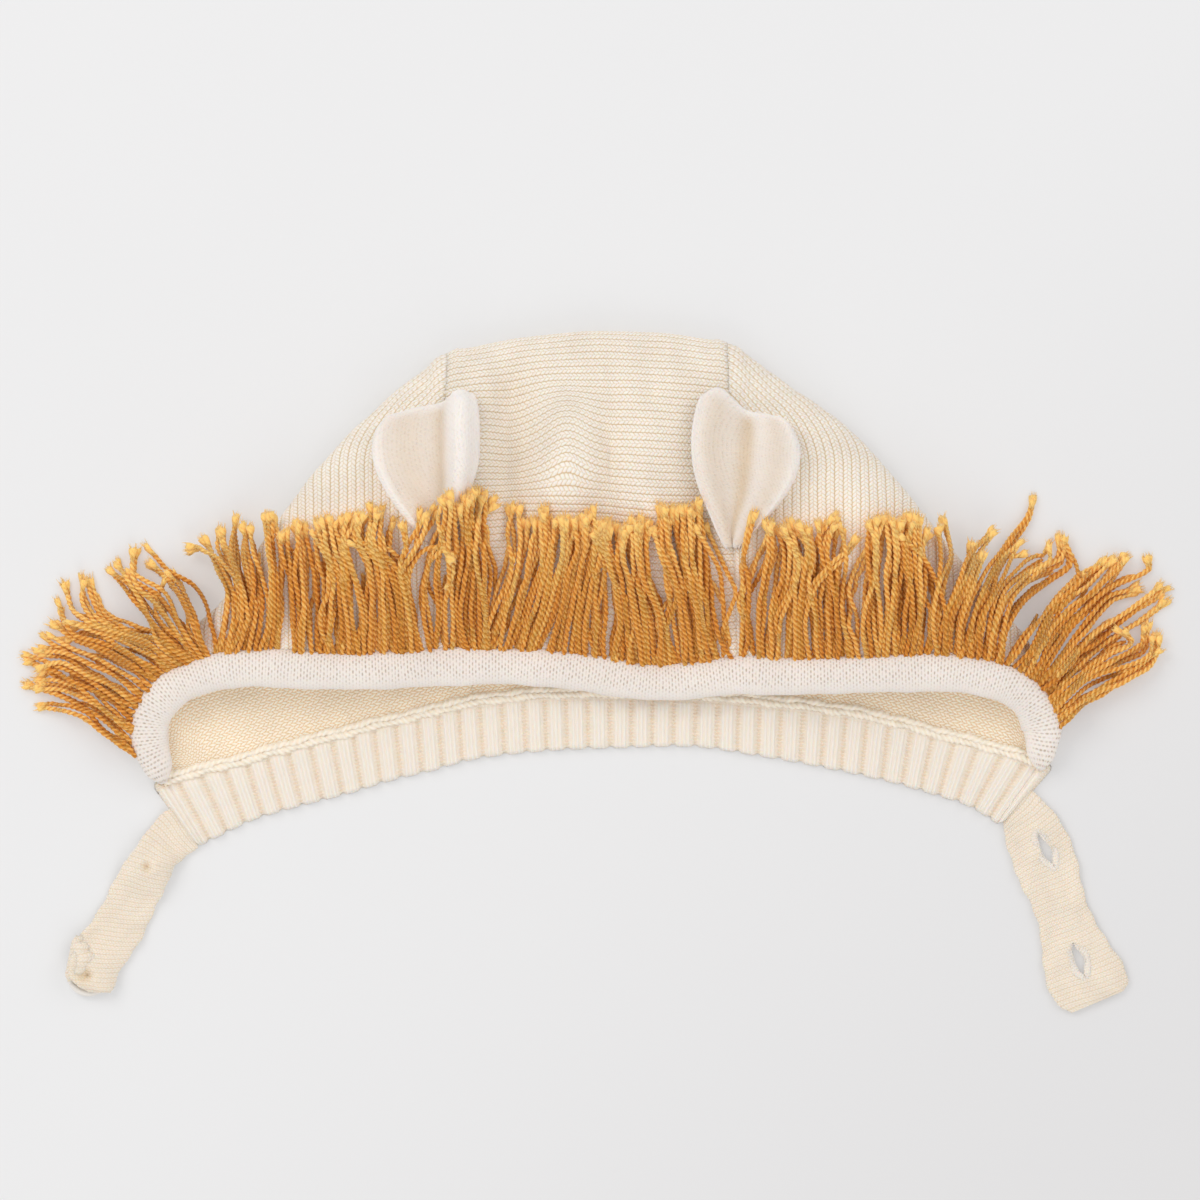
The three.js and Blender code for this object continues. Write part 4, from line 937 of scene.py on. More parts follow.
def makeEar(name, node, rows, root):
    base = np.array([root[0] * hat["halfWidth"], root[1] * hat["crownDepth"]])
    last = len(rows) - 1
    b = np.linspace(0, last, ear["rows"])
    a = np.linspace(0, 4, ear["columns"])
    read = np.stack([smoothValue(rows[:, k], b, 0, last) for k in range(15)], axis=-1)
    across = lambda columns: np.stack([smoothValue(read[i, columns], a, 0, 4) for i in range(len(b))])
    plan = np.stack([across([0, 2, 4, 6, 8]), across([1, 3, 5, 7, 9])], axis=-1) + base
    rise = np.maximum(across([10, 11, 12, 13, 14]), 0.1)
    ground = bedAround(plan, gather=np.mean)
    for _ in range(6):
        ground[1:-1, 1:-1] = (ground[:-2, 1:-1] + ground[2:, 1:-1] + ground[1:-1, :-2] + ground[1:-1, 2:]) / 4
    middle = np.concatenate([plan, (ground + rise + ear["gauge"] / 2 + 0.2)[..., None]], axis=-1)
    lift = unit(np.cross(np.gradient(middle, axis=0), np.gradient(middle, axis=1)))
    edge = np.abs(a / 2 - 1)[None, :]
    close = np.sqrt(np.clip(1 - edge ** 7, 0.02, 1)) * np.sqrt(np.clip(b / 0.3, 0.03, 1))[:, None]
    roll = 1 + ear["rim"] * np.exp(-((edge - 0.9) / 0.08) ** 2)
    creased = 1 - ear["crease"] * np.exp(-((a - 2) / 0.4) ** 2)[None, :]
    half = ear["gauge"] / 2 * close * roll * creased * 0.85
    wide = np.linalg.norm(plan[:, -1] - plan[:, 0], axis=-1)[:, None] * (a / 4)[None, :]
    far = np.linalg.norm(plan[:, 2] - plan[:1, 2], axis=-1)[:, None] + 0 * a[None, :]
    places = paired(wide / ear["wale"], far / ear["course"])
    # painted shade: the inner face is darkened to a deeper cream than its rolled rim and its crest, most of
    # all in the crease
    creaseShade = sum(deep * np.exp(-((a - at) / reach) ** 2) for at, reach, deep in ear["cream"][node])
    creaseShade = np.clip(creaseShade, 0, 1)[None, :] * ease((1 - edge) / 0.16) * ease(b / 1.0)[:, None]
    shadeMasks = paired(1.0, creaseShade)
    piece, points = makePillow(name, middle, lift, half, earKnit, {"knit": places, "shadeMasks": shadeMasks})
    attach(piece, "root")
    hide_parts(node)
    raiseBed(points)
    return piece


makeEar("ear_leaf_left", "ear_left", leftEarRows, earRoots["left"])
makeEar("ear_leaf_right", "ear_right", rightEarRows, earRoots["right"])
print("ears made")

# Straps from the neckband outwards: the two edges in shares of strapLength, the curl of the edge in mm.
leftStrapRows = np.array([
    [-0.033, 0.094, 0.102, -0.092, 0], [-0.09, 0.055, 0.07, -0.12, 0],
    [-0.145, -0.02, 0.035, -0.145, 0], [-0.22, -0.125, -0.01, -0.195, 0],
    [-0.29, -0.23, -0.05, -0.29, 0], [-0.35, -0.35, -0.095, -0.375, 0],
    [-0.41, -0.45, -0.135, -0.465, 0.4], [-0.475, -0.535, -0.18, -0.56, 2],
    [-0.505, -0.63, -0.235, -0.64, 3.4], [-0.53, -0.705, -0.285, -0.72, 2.6],
    [-0.485, -0.775, -0.31, -0.79, 0.6], [-0.43, -0.81, -0.325, -0.815, 0],
])
rightStrapRows = np.array([
    [-0.09, -0.077, 0.052, 0.088, 0], [-0.085, -0.14, 0.13, 0.02, 0],
    [-0.05, -0.255, 0.21, -0.095, 0], [-0.01, -0.365, 0.265, -0.225, 0],
    [0.05, -0.48, 0.295, -0.37, 0], [0.09, -0.61, 0.335, -0.5, 0],
    [0.105, -0.76, 0.41, -0.635, 0], [0.13, -0.89, 0.495, -0.76, 0],
    [0.18, -0.97, 0.525, -0.85, 0], [0.25, -1.01, 0.5, -0.905, 0],
])
strap = dict(gauge=2.4, ridge=1.75, stitch=1.2, relief=0.12, rows=130, columns=34)
# Buttonholes in mm, with the whipped rim: how far out it runs, its radius and how much a stitch bulges.
buttonhole = dict(
    length=12.6, width=3.9, points=40, rimAway=1.0, rimRadius=1.1, rimBulge=0.34, rimStitch=1.05,
    rimSteps=150, rimAround=12, rimHeight=1.7, rimTone=0.6,
)
holePlaces = [(0.115, -0.195, 27), (0.28, -0.745, 20)]  # shares of strapLength, degrees from the Y axis


def strapGrid(rows, root):
    base = np.array([root[0] * hat["halfWidth"], root[1] * hat["faceDrop"]])
    last = len(rows) - 1
    b = np.linspace(-0.35, last, strap["rows"])
    read = lambda k: smoothValue(rows[:, k], b, 0, last)
    left = base + np.stack([read(0), read(1)], axis=-1) * hat["strapLength"]
    right = base + np.stack([read(2), read(3)], axis=-1) * hat["strapLength"]
    a = np.linspace(0, 1, strap["columns"])
    far = lengthAlong((left + right) / 2)
    # the knit's rows scallop both edges
    scallop = (0.3 * np.abs(np.sin(far / strap["ridge"] * math.pi)) + 0.25 * np.sin(far * 0.7))[:, None]
    outwards = unit(right - left)
    left, right = left - outwards * scallop, right + outwards * scallop
    plan = mix(left[:, None, :], right[:, None, :], a[None, :, None])
    wide = np.linalg.norm(right - left, axis=-1)
    return plan, read(4), a, far, wide


def makeStrap(name, rows, root, buttons):
    plan, curl, a, far, wide = strapGrid(rows, root)
    height = np.zeros(plan.shape[:2])
    for x, y in buttons:
        away = np.hypot(plan[..., 0] - x, plan[..., 1] - y)
        height = np.maximum(height, (hat["buttonHeight"] + 0.5) * np.exp(-(away / 10.5) ** 4))
        height = height - 2.2 * np.exp(-(away / 1.3) ** 2) + 0.5 * np.exp(-((away - 3.2) / 1.2) ** 2)
    rolled = np.clip(curl, 0, None)[:, None] * np.clip(1 - a / 0.3, 0, 1)[None, :] ** 1.5
    height = height + rolled
    shadeMasks = np.zeros(plan.shape)
    if buttons:
        # the thread's pucker over the upper button, and the end curling away from the lower one; the pucker
        # and the hollow beside the curl are painted shade, a golden darkening
        spots = [(buttons[0][0], buttons[0][1], 1.1, 1.8, -0.3, 0.25), (-181.6, -115.0, 2.6, 3.2, -0.2, 0.36),
                 (-186.6, -107.0, 3.0, 6.5, 1.2, 0.0)]
        for x, y, wideReach, longReach, rise, paintedShade in spots:
            spot = np.exp(-((plan[..., 0] - x) / wideReach) ** 2 - ((plan[..., 1] - y) / longReach) ** 2)
            height = height + rise * spot
            shadeMasks[..., 0] += paintedShade * spot
    ripple = 0.25 * np.sin(far[:, None] * 0.35 + 3 * a[None, :])
    ripple = ripple + 0.15 * np.sin(far[:, None] * 0.9 - 5 * a[None, :])
    height = height + 0.3 + ripple
    middle = np.concatenate([plan, (height + strap["gauge"] / 2)[..., None]], axis=-1)
    ridges = far[:, None] / strap["ridge"] + 0.15 * np.sin(a * 7)[None, :]
    stitches = wide[:, None] * a[None, :] / strap["stitch"]
    across = np.abs(2 * a - 1)[None, :]
    fromEnd = np.minimum(far, far[-1] - far)[:, None]
    flank = 1 - across ** 9
    half = strap["gauge"] / 2 * np.sqrt(np.clip(flank, 0.12, 1)) * np.sqrt(np.clip(fromEnd / 1.2, 0.5, 1))
    half = half + ridgeHeight(ridges, strap["relief"]) * np.sqrt(np.clip(flank, 0.0, 1))
    upwards = np.broadcast_to([0.0, 0.0, 1.0], middle.shape)
    places = paired(ridges, stitches)
    return makePillow(name, middle, upwards, half, strapKnit, {"knit": places, "shadeMasks": shadeMasks})[0]


def cutSlot(piece, x, y, turn):
    # cuts a pointed slot through a strap and gives back its outline for the stitched rim
    half, side, count = buttonhole["length"] / 2, buttonhole["width"] / 2, buttonhole["points"]
    t = np.linspace(0, 2 * math.pi, count, endpoint=False)
    px, py = side * np.cos(t) * (1 + 0.12 * np.sin(5 * t + x)), half * np.sin(t)
    cosTurn, sinTurn = math.cos(math.radians(turn)), math.sin(math.radians(turn))
    outline = np.stack([x + px * cosTurn - py * sinTurn, y + px * sinTurn + py * cosTurn], axis=-1)
    low, high = [np.concatenate([outline, np.full((count, 1), z)], axis=-1) for z in (-5.0, 15.0)]
    cutter = addPiece("cutter", np.concatenate([low, high]), closedTube(2, count), creamKnit)
    cut = piece.modifiers.new("slot", "BOOLEAN")
    cut.operation, cut.object, cut.solver = "DIFFERENCE", cutter, "EXACT"
    bpy.context.view_layer.update()
    finished = bpy.data.meshes.new_from_object(piece.evaluated_get(bpy.context.evaluated_depsgraph_get()))
    piece.modifiers.clear()
    piece.data = finished
    bpy.data.objects.remove(cutter)
    return outline


def makeRim(name, outline, centre, height):
    # the whipped edge of a buttonhole: slanting stitches side by side round the slot
    steps, around = buttonhole["rimSteps"], buttonhole["rimAround"]
    away = unit(outline - centre) * buttonhole["rimAway"]
    line = np.concatenate([outline + away, np.full((len(outline), 1), height)], axis=-1)
    closed = np.concatenate([line, line[:1]])
    length = lengthAlong(closed)
    fine = np.linspace(0, length[-1], steps, endpoint=False)
    line = np.stack([np.interp(fine, length, closed[:, k]) for k in range(3)], axis=-1)
    tangent = unit(np.roll(line, -1, axis=0) - np.roll(line, 1, axis=0))
    side = np.cross(tangent, [0.0, 0.0, 1.0])
    angle = np.linspace(0, 2 * math.pi, around, endpoint=False)
    slant = fine[:, None] / buttonhole["rimStitch"] + angle[None, :] / (2 * math.pi)
    radius = buttonhole["rimRadius"] + buttonhole["rimBulge"] * np.abs(np.sin(slant * math.pi))
    points = line[:, None, :] + side[:, None, :] * (np.cos(angle) * radius)[..., None]
    points[..., 2] = points[..., 2] + np.sin(angle)[None, :] * radius * 0.95
    i, j = np.meshgrid(np.arange(steps), np.arange(around), indexing="ij")
    here, ahead, beside = i * around, (i + 1) % steps * around, (j + 1) % around
    quads = np.stack([k.ravel() for k in (here + j, ahead + j, ahead + beside, here + beside)], axis=1)
    places = paired((angle / (2 * math.pi))[None, :], (fine / 4)[:, None])
    tones = np.full(steps * around, buttonhole["rimTone"])
    piece = addPiece(name, points, [quads], whiteThread, {"yarn": places}, tones)
    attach(piece, "root")
    return piece


# The lap of the left strap's end that has turned over on itself: outer edge and free edge from top to
# bottom, x and y in mm; then its thickness, length and width, its foot's height, and what it rises by.
lapEdges = np.array([
    [(-183.8, -101.2), (-182.4, -101.8)], [(-185.4, -103.8), (-180.8, -104.4)],
    [(-186.2, -107.4), (-178.0, -107.0)], [(-187.0, -111.2), (-178.2, -111.0)],
    [(-187.6, -115.0), (-181.4, -114.2)], [(-186.6, -117.4), (-184.0, -116.6)],
])
lap = dict(
    gauge=1.9, length=16.0, width=9.0, rows=40, columns=26,
    foot=3.3, slope=1.3, arch=2.3, freeRise=1.2, waver=0.5,
)


def makeCurl():
    last = len(lapEdges) - 1
    b, t = np.linspace(0, last, lap["rows"]), np.linspace(0, 1, lap["columns"])
    edge = lambda side: np.stack([smoothValue(lapEdges[:, side, k], b, 0, last) for k in range(2)], axis=-1)
    outer, free = edge(0), edge(1) + lap["waver"] * np.sin(b * 6.0)[:, None]
    plan = mix(outer[:, None, :], free[:, None, :], t[None, :, None])
    archAcross = np.sin(np.clip(t * 1.15, 0, 1) * math.pi)[None, :]
    archAlong = np.sin(np.clip(b / last, 0.05, 0.95) * math.pi)[:, None]
    rise = lap["foot"] + lap["slope"] * ease(b / 2)[:, None] + lap["arch"] * archAcross * archAlong
    rise = rise + lap["freeRise"] * t[None, :] * ease((b - 0.6) / 2)[:, None]
    middle = np.concatenate([plan, rise[..., None]], axis=-1)
    lift = unit(np.cross(np.gradient(middle, axis=0), np.gradient(middle, axis=1)))
    lift = lift * np.sign(lift[..., 2:])
    half = lap["gauge"] / 2 * np.sqrt(np.clip(1 - np.abs(2 * t - 1) ** 8, 0.1, 1))[None, :]
    half = np.broadcast_to(half, rise.shape)
    places = paired((b * lap["length"] / last / strap["ridge"])[:, None],
                    (t * lap["width"] / strap["stitch"])[None, :])
    piece, _ = makePillow("strap_curl", middle, lift, half, strapKnit, {"knit": places, "shadeMasks": 0 * places})
    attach(piece, "root")
    return piece


whiteThread = twistedYarn("cotton sewing thread, white", dict(
    deepColour="#d3bfa6", yarnColour="#ece1d4", frayColour="#f6efe6", depth=0.2, glow=0.0, tipGlow=0.0,
    finish=cottonFinish,
))
leftStrap = makeStrap("chin_strap_left", leftStrapRows, strapRoots["left"],
                      [buttonPlace("button_upper"), buttonPlace("button_lower")])
strapCurl = makeCurl()
rightStrap = makeStrap("chin_strap_right", rightStrapRows, strapRoots["right"], [])
for number, (x, y, turn) in enumerate(holePlaces):
    centre = np.array([
        strapRoots["right"][0] * hat["halfWidth"] + x * hat["strapLength"],
        strapRoots["right"][1] * hat["faceDrop"] + y * hat["strapLength"],
    ])
    outline = cutSlot(rightStrap, centre[0], centre[1], turn)
    makeRim(f"buttonhole_rim_{number + 1}", outline, centre, buttonhole["rimHeight"])
for piece, node in ((leftStrap, "strap_left"), (rightStrap, "strap_right")):
    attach(piece, "root")
    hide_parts(node)
print("straps made")

# Buttons in mm: a dished disc with a round rim.
button = dict(radius=7.8, height=3.4, dish=0.9, around=64)


def polishedPolyester(name, values):
    # Cast polyester, tumbled and polished: white, slightly pearly, with a clear soft gloss.
    material, tree = newMaterial(name)
    place = addNode(tree, "ShaderNodeTexCoord", {}, {}).node.outputs[3]
    # clouds about 2.6 mm wide
    cloud = addNode(tree, "ShaderNodeTexNoise", {}, {
        "Vector": place, "Scale": 380.0, "Detail": 3.0, "Distortion": 1.2,
    })
    colour = addNode(tree, "ShaderNodeMix", {"data_type": "RGBA"}, {
        "Factor": cloud, 6: toLinear(values["lightColour"]), 7: toLinear(values["cloudColour"]),
    }).node.outputs[2]
    surface = addNode(tree, "ShaderNodeBsdfPrincipled", {}, {
        "Base Color": colour, "Roughness": values["roughness"], "IOR": values["ior"],
        "Coat Weight": values["coat"],
    })
    addNode(tree, "ShaderNodeOutputMaterial", {}, {"Surface": surface})
    return material


pearlPolyester = polishedPolyester("polyester, cast and polished", dict(
    lightColour="#f6f3ee", cloudColour="#e4ded4", roughness=0.28, ior=1.54, coat=0.2,
))


def makeButton(name, node):
    x, y = buttonPlace(node)
    r, h, around = button["radius"], button["height"], button["around"]
    dished, bottom = h - button["dish"], h - button["dish"] * 1.05
    profile = [
        (0.0, 0.0), (r * 0.8, 0.0), (r * 0.93, 0.2), (r * 0.99, 0.7), (r, h * 0.5), (r * 0.985, h * 0.72),
        (r * 0.94, h * 0.9), (r * 0.88, h), (r * 0.8, h * 0.99), (r * 0.74, h * 0.9), (r * 0.68, h * 0.8),
        (r * 0.5, dished), (r * 0.2, bottom), (0.0, bottom),
    ]
    angle = np.linspace(0, 2 * math.pi, around, endpoint=False)
    circle = np.stack([np.cos(angle), np.sin(angle)], axis=-1)
    rings = np.array([
        np.concatenate([[x, y] + max(a, 0.02) * circle, np.full((around, 1), b)], axis=-1) for a, b in profile
    ])
    piece = addPiece(name, rings, closedTube(len(profile), around), pearlPolyester)
    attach(piece, "root")
    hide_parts(node)
    return piece


for node in buttonPlaces:
    makeButton(node + "_disc", node)
print("buttons made")

# Fringe, in mm: yarn thickness as the radius of its ply, one turn of the twist, how deep it is between the
# plies, step along a strand, points round it; frayed ends; how high strands pile up, how steeply they fall
# and how far they may rise, where they start in the rolled edge; tones; where each of the five pieces ends.
fringe = dict(
    ply=0.56, twist=4.2, waist=0.42, ring=0.8, around=8, underAround=6,
    frayLength=4.6, frayWidth=1.25, frayFibres=5, frayAround=10,
    pile=6.4, slope=0.7, loft=1.6, rootLow=-0.8, rootHigh=2.0, rootSlope=0.5,
    shortest=0.93, underCut=(0.5, 0.84),
    darkest=0.18, palest=0.48, tipTone=0.3, rootShade=0.05, fibreTone=0.85,
    ends=dict(left=-103, inner_left=-45, middle=12, inner_right=84, right=999), seed=11,
)
# A frayed end's rings: share of its length, half width and half height in mm, and whether it turns inwards.
frayRings = [
    (0.0, 0.8, 0.8, 0), (0.22, 0.85, 0.85, 0), (0.45, 1.1, 0.9, 0),
    (0.72, 1.25, 0.85, 0), (1.0, 1.2, 0.65, 0), (0.78, 0.6, 0.3, 1),
]

# Locks along the face edge from the left corner to the right one: strands, their spread at the root and at
# the tip, and the lock's line from root to tip.
lockRows = [
    (2, 1.8, 1.8, [(-163.8, -36.2), (-172.4, -30.2), (-181.2, -23.4), (-190.1, -20.6), (-197.9, -20.2)]),
    (3, 2.5, 2.1, [(-163.8, -32.7), (-171.6, -26.3), (-181.2, -19.9), (-191.9, -15.6), (-201.5, -12.1)]),
    (4, 2.8, 4.3, [(-163.5, -28.4), (-171.6, -22), (-181.2, -16.3), (-190.1, -13.5), (-197.2, -12.1)]),
    (4, 2.8, 2.8, [(-162.8, -24.1), (-172.4, -17), (-183, -11.4), (-193.7, -6.4), (-202.2, -2.5)]),
    (4, 2.8, 5.0, [(-161.7, -20.6), (-170.6, -14.9), (-180.2, -9.9), (-189.4, -5.7), (-197.2, -7.8)]),
    (4, 2.8, 2.8, [(-159.6, -16.7), (-168.8, -10.6), (-178.7, -5.7), (-188, -1.8), (-197.2, 0)]),
    (3, 2.8, 1.8, [(-157.4, -13.5), (-166, -7.8), (-176.6, -2.8), (-186.6, 0.7), (-195.4, 5.7)]),
    (3, 2.8, 1.8, [(-155.3, -11.4), (-164.5, -5.7), (-175.2, -0.7), (-185.1, 3.5), (-192.6, 10.3)]),
    (2, 2.1, 1.1, [(-153.2, -9.6), (-163.1, -3.5), (-174.5, 1.8), (-185.8, 5), (-190.5, 16.3)]),
    (3, 2.8, 2.8, [(-151.1, -7.8), (-159.9, -1.8), (-170.6, 2.5), (-179.5, 5), (-189.4, 3.5)]),
    (4, 2.8, 2.8, [(-148.2, -6), (-158.2, 0.7), (-168.8, 5), (-177.7, 7.8), (-185.8, 9.2)]),
    (2, 1.8, 1.1, [(-145.4, -4.6), (-158.2, 3.5), (-172.4, 8.5), (-183.7, 13.5), (-188, 23.1)]),
    (2, 1.8, 1.1, [(-143.6, -3.9), (-154.6, 3.5), (-167, 6.4), (-176.6, 10.6), (-181.6, 17.8),
        (-181.6, 24.8)]),
    (2, 1.4, 1.1, [(-141.8, -3.2), (-152.8, 5), (-165.3, 8.5), (-173.1, 12.4), (-177.3, 18.5),
        (-180.2, 24.1)]),
    (3, 2.1, 1.1, [(-144.7, -4.3), (-152.8, 3.5), (-158.9, 12.4), (-165.3, 21.3), (-173.4, 29.5)]),
    (3, 2.1, 1.4, [(-142.5, -3.5), (-150.3, 3.5), (-156.4, 11.4), (-163.8, 22), (-170.9, 32.3)]),
    (3, 2.1, 1.8, [(-140.4, -2.8), (-147.5, 6.4), (-154.6, 16), (-162.8, 24.1), (-163.5, 36.2)]),
    (3, 2.1, 2.8, [(-139, -2.5), (-145.4, 7.1), (-152.8, 17.8), (-159.9, 22.7), (-166, 27)]),
    (2, 1.4, 1.1, [(-137.6, -2.1), (-141.5, 7.8), (-144, 16.3), (-146.8, 22), (-150.3, 27)]),
    (1, 0.7, 0.7, [(-139.7, -2.5), (-147.5, 3.5), (-154.6, 9.9), (-155.3, 17), (-152.8, 24.8)]),
    (3, 2.4, 1.6, [(-136.8, -1.9), (-140.5, 8.5), (-146.5, 17.5), (-153, 24.5), (-158, 31)]),
    (3, 2.4, 2.0, [(-134.4, -1.5), (-131.5, 9.5), (-130.5, 20), (-134, 31), (-139, 39)]),
    (1, 0.7, 0.4, [(-133.7, -1.4), (-134.4, 7.1), (-137.2, 14.9), (-144, 22.7), (-152.8, 28.4),
        (-158.5, 35.1)]),
    (3, 2.1, 1.4, [(-131.2, -1.1), (-126.2, 8.9), (-126.2, 17.8), (-131.5, 28.4), (-138.3, 34.8),
        (-143.6, 36.2)]),
    (4, 2.8, 2.8, [(-129, -0.7), (-125.1, 10.6), (-125.5, 23.1), (-129, 31.9), (-131.9, 37.3),
        (-132.6, 41.9)]),
    (4, 3.2, 1.8, [(-126.2, -0.7), (-124.1, 10.6), (-125.1, 23.1), (-126.9, 35.5), (-127.6, 46.9)]),
    (4, 2.8, 2.1, [(-122.7, -0.4), (-119.8, 12.4), (-120.5, 23.1), (-123.4, 33.7), (-123.7, 42.6)]),
    (3, 2.8, 1.8, [(-119.1, -0.4), (-117, 12.4), (-117.3, 24.8), (-119.8, 35.5), (-121.9, 41.9)]),
    (4, 2.8, 2.1, [(-115.6, -0.4), (-113.4, 12.4), (-114.1, 26.6), (-115.6, 37.3), (-115.9, 47.9)]),
    (4, 2.1, 2.1, [(-112.4, -0.4), (-110.9, 12.4), (-110.9, 24.8), (-112, 36.2), (-113.4, 47.6)]),
    (4, 2.1, 2.8, [(-105.3, -0.4), (-104.9, 12.4), (-107, 26.6), (-109.2, 34.8), (-109.5, 40.8)]),
    (4, 2.8, 2.5, [(-103.1, -0.4), (-102.8, 14.2), (-103.8, 28.4), (-104.5, 37.3), (-104.9, 43.7)]),
    (4, 2.8, 2.8, [(-99.2, -0.4), (-99.9, 16), (-100.6, 28.4), (-102.1, 37.3), (-102.8, 41.9)]),
    (5, 3.2, 2.8, [(-96, -0.4), (-95, 12.4), (-94.3, 24.8), (-95.7, 35.5), (-97.1, 44.4)]),
    (3, 2.1, 2.1, [(-92.1, -0.7), (-97.1, 10.6), (-93.5, 21.3), (-94.3, 31.9), (-98.5, 41.2)]),
    (5, 3.2, 3.2, [(-90, -0.7), (-88.9, 12.4), (-89.3, 26.6), (-92.5, 35.5), (-94.3, 45.4)]),
    (5, 3.2, 3.5, [(-86.4, -0.7), (-86.4, 13.5), (-87.9, 28.4), (-90, 37.3), (-90, 44.7)]),
    (5, 3.2, 3.5, [(-82.5, -0.7), (-81.5, 12.4), (-83.6, 26.6), (-87.2, 37.3), (-85.4, 46.9)]),
    (5, 3.2, 3.5, [(-79.3, -0.4), (-80.1, 13.5), (-79.3, 28.4), (-82.9, 39), (-82.2, 47.2)]),
    (5, 3.2, 3.2, [(-75.4, -0.4), (-75.1, 14.2), (-75.8, 28.4), (-78.6, 39), (-77.9, 49.7)]),
    (4, 3.2, 2.5, [(-71.5, -0.4), (-72.2, 13.5), (-73.7, 26.6), (-75.1, 37.3), (-75.8, 49)]),
    (4, 2.5, 2.8, [(-68.7, -0.4), (-68.7, 14.2), (-70.8, 28.4), (-77.9, 34.8), (-86.4, 39.8)]),
    (3, 2.1, 2.1, [(-66.2, 0), (-65.9, 14.2), (-68, 26.6), (-74.4, 33.4), (-82.9, 36.9)]),
    (2, 1.4, 1.4, [(-68, -0.4), (-70.1, 17.8), (-73, 30.2), (-73.7, 39), (-70.5, 45.4)]),
    (2, 1.4, 1.4, [(-65.9, 0), (-68, 17.8), (-70.1, 28.4), (-66.6, 36.2), (-67.6, 43.3)]),
    (3, 2.1, 1.8, [(-64.8, 0), (-67.6, 14.2), (-68, 25.6), (-63.7, 37.3), (-60.2, 48.3)]),
    (3, 2.1, 1.4, [(-63, 0), (-66.2, 13.5), (-66.9, 24.8), (-60.9, 39), (-55.9, 49.7)]),
    (1, 0.7, 0.7, [(-60.9, 0.4), (-64.1, 16), (-63.7, 27.7), (-58.8, 34.4), (-53.1, 35.1), (-50.2, 28.4),
        (-52.7, 20.6)]),
    (2, 1.4, 1.1, [(-58.4, 0.4), (-61.2, 17.8), (-59.5, 28.4), (-54.8, 34.8), (-50.9, 33.4)]),
    (2, 1.4, 1.8, [(-56.3, 0.4), (-55.2, 14.2), (-56.6, 24.8), (-55.2, 39), (-53.1, 47.9), (-52.7, 52.5)]),
    (4, 2.8, 2.5, [(-53.1, 0.7), (-53.1, 14.2), (-51.7, 24.8), (-50.9, 39), (-50.9, 53.2)]),
    (3, 2.8, 2.1, [(-49.9, 0.7), (-48.8, 14.2), (-49.2, 26.6), (-50.9, 37.3), (-53.8, 46.1), (-51.7, 53.2)]),
    (4, 2.8, 2.1, [(-47, 1.1), (-47.4, 14.2), (-46.7, 28.4), (-47.4, 40.8), (-48.1, 49)]),
    (5, 3.2, 2.5, [(-43.8, 1.1), (-44.6, 14.2), (-43.1, 28.4), (-44.6, 40.8), (-44.9, 54.3)]),
    (4, 2.8, 2.1, [(-41, 1.1), (-41, 14.2), (-40.3, 28.4), (-42.4, 42.6), (-42.4, 55.4)]),
    (3, 2.1, 1.8, [(-38.5, 1.1), (-38.2, 14.2), (-38.9, 30.2), (-38.9, 42.6), (-39.6, 55)]),
    (2, 1.1, 1.4, [(-37.8, 1.1), (-38.5, 17.8), (-38.2, 31.9), (-39.9, 44.4), (-36.4, 51.5)]),
    (2, 1.4, 1.1, [(-39.9, 1.1), (-36, 14.2), (-30.7, 30.2), (-30.4, 40.8), (-29.3, 49.7)]),
    (2, 1.4, 1.1, [(-37.1, 1.1), (-33.2, 13.5), (-28.9, 25.6), (-27.2, 37.3), (-26.8, 49.7)]),
    (4, 2.8, 2.8, [(-34.3, 1.1), (-31.1, 13.5), (-27.5, 24.8), (-25.4, 35.5), (-24.3, 44.7)]),
    (5, 3.2, 3.2, [(-30.7, 0.7), (-26.1, 14.2), (-23.3, 26.6), (-21.1, 36.2), (-20.4, 44)]),
    (5, 3.2, 2.8, [(-27.2, 0.7), (-22.2, 16), (-18.6, 28.4), (-17.6, 37.3), (-17.6, 47.9)]),
    (5, 2.8, 3.2, [(-24, 0.4), (-17.9, 16), (-14.4, 30.2), (-13.3, 37.3), (-14, 44.7)]),
    (5, 2.8, 3.2, [(-20.8, 0.4), (-15.4, 14.2), (-11.9, 27.7), (-10.1, 37.3), (-10.5, 44.7)]),
    (5, 2.8, 3.2, [(-15.4, 0), (-12.6, 13.5), (-9.8, 26.6), (-7.6, 36.2), (-7.6, 44)]),
    (5, 2.8, 3.2, [(-11.9, -0.4), (-9.8, 13.5), (-6.9, 26.6), (-4.4, 37.3), (-4.1, 45.4)]),
    (5, 3.2, 2.5, [(-8, -0.7), (-6.2, 13.5), (-3.4, 27.7), (-2, 37.3), (-1.6, 48.3)]),
    (5, 3.2, 2.8, [(-4.1, -1.4), (-3.4, 12.4), (-2, 25.6), (-0.5, 35.5), (1.6, 43.3)]),
    (4, 3.2, 2.8, [(-0.5, -2.5), (-0.5, 11.4), (-0.2, 24.8), (1.2, 34.8), (3, 44)]),
    (4, 2.8, 2.1, [(3, -3.2), (1.6, 9.9), (2.3, 21.3), (0.9, 31.9), (-1.2, 42.6)]),
    (4, 2.8, 2.1, [(6.2, -3.9), (8, 10.6), (5.1, 24.8), (2.3, 34.8), (0.9, 42.6)]),
    (5, 3.2, 3.2, [(10.1, -4.3), (10.8, 9.9), (7.3, 23.1), (4.4, 33.7), (4.1, 42.6)]),
    (5, 3.2, 3.2, [(14, -4.6), (13, 9.9), (12.2, 23.1), (9.4, 33.7), (8.7, 42.6)]),
    (5, 3.2, 2.8, [(17.9, -5), (16.5, 9.9), (13.7, 24.1), (11.5, 34.8), (12.2, 44.7)]),
    (5, 3.2, 2.8, [(21.8, -5), (21.1, 9.9), (17.2, 23.1), (15.1, 33.7), (15.1, 45.4)]),
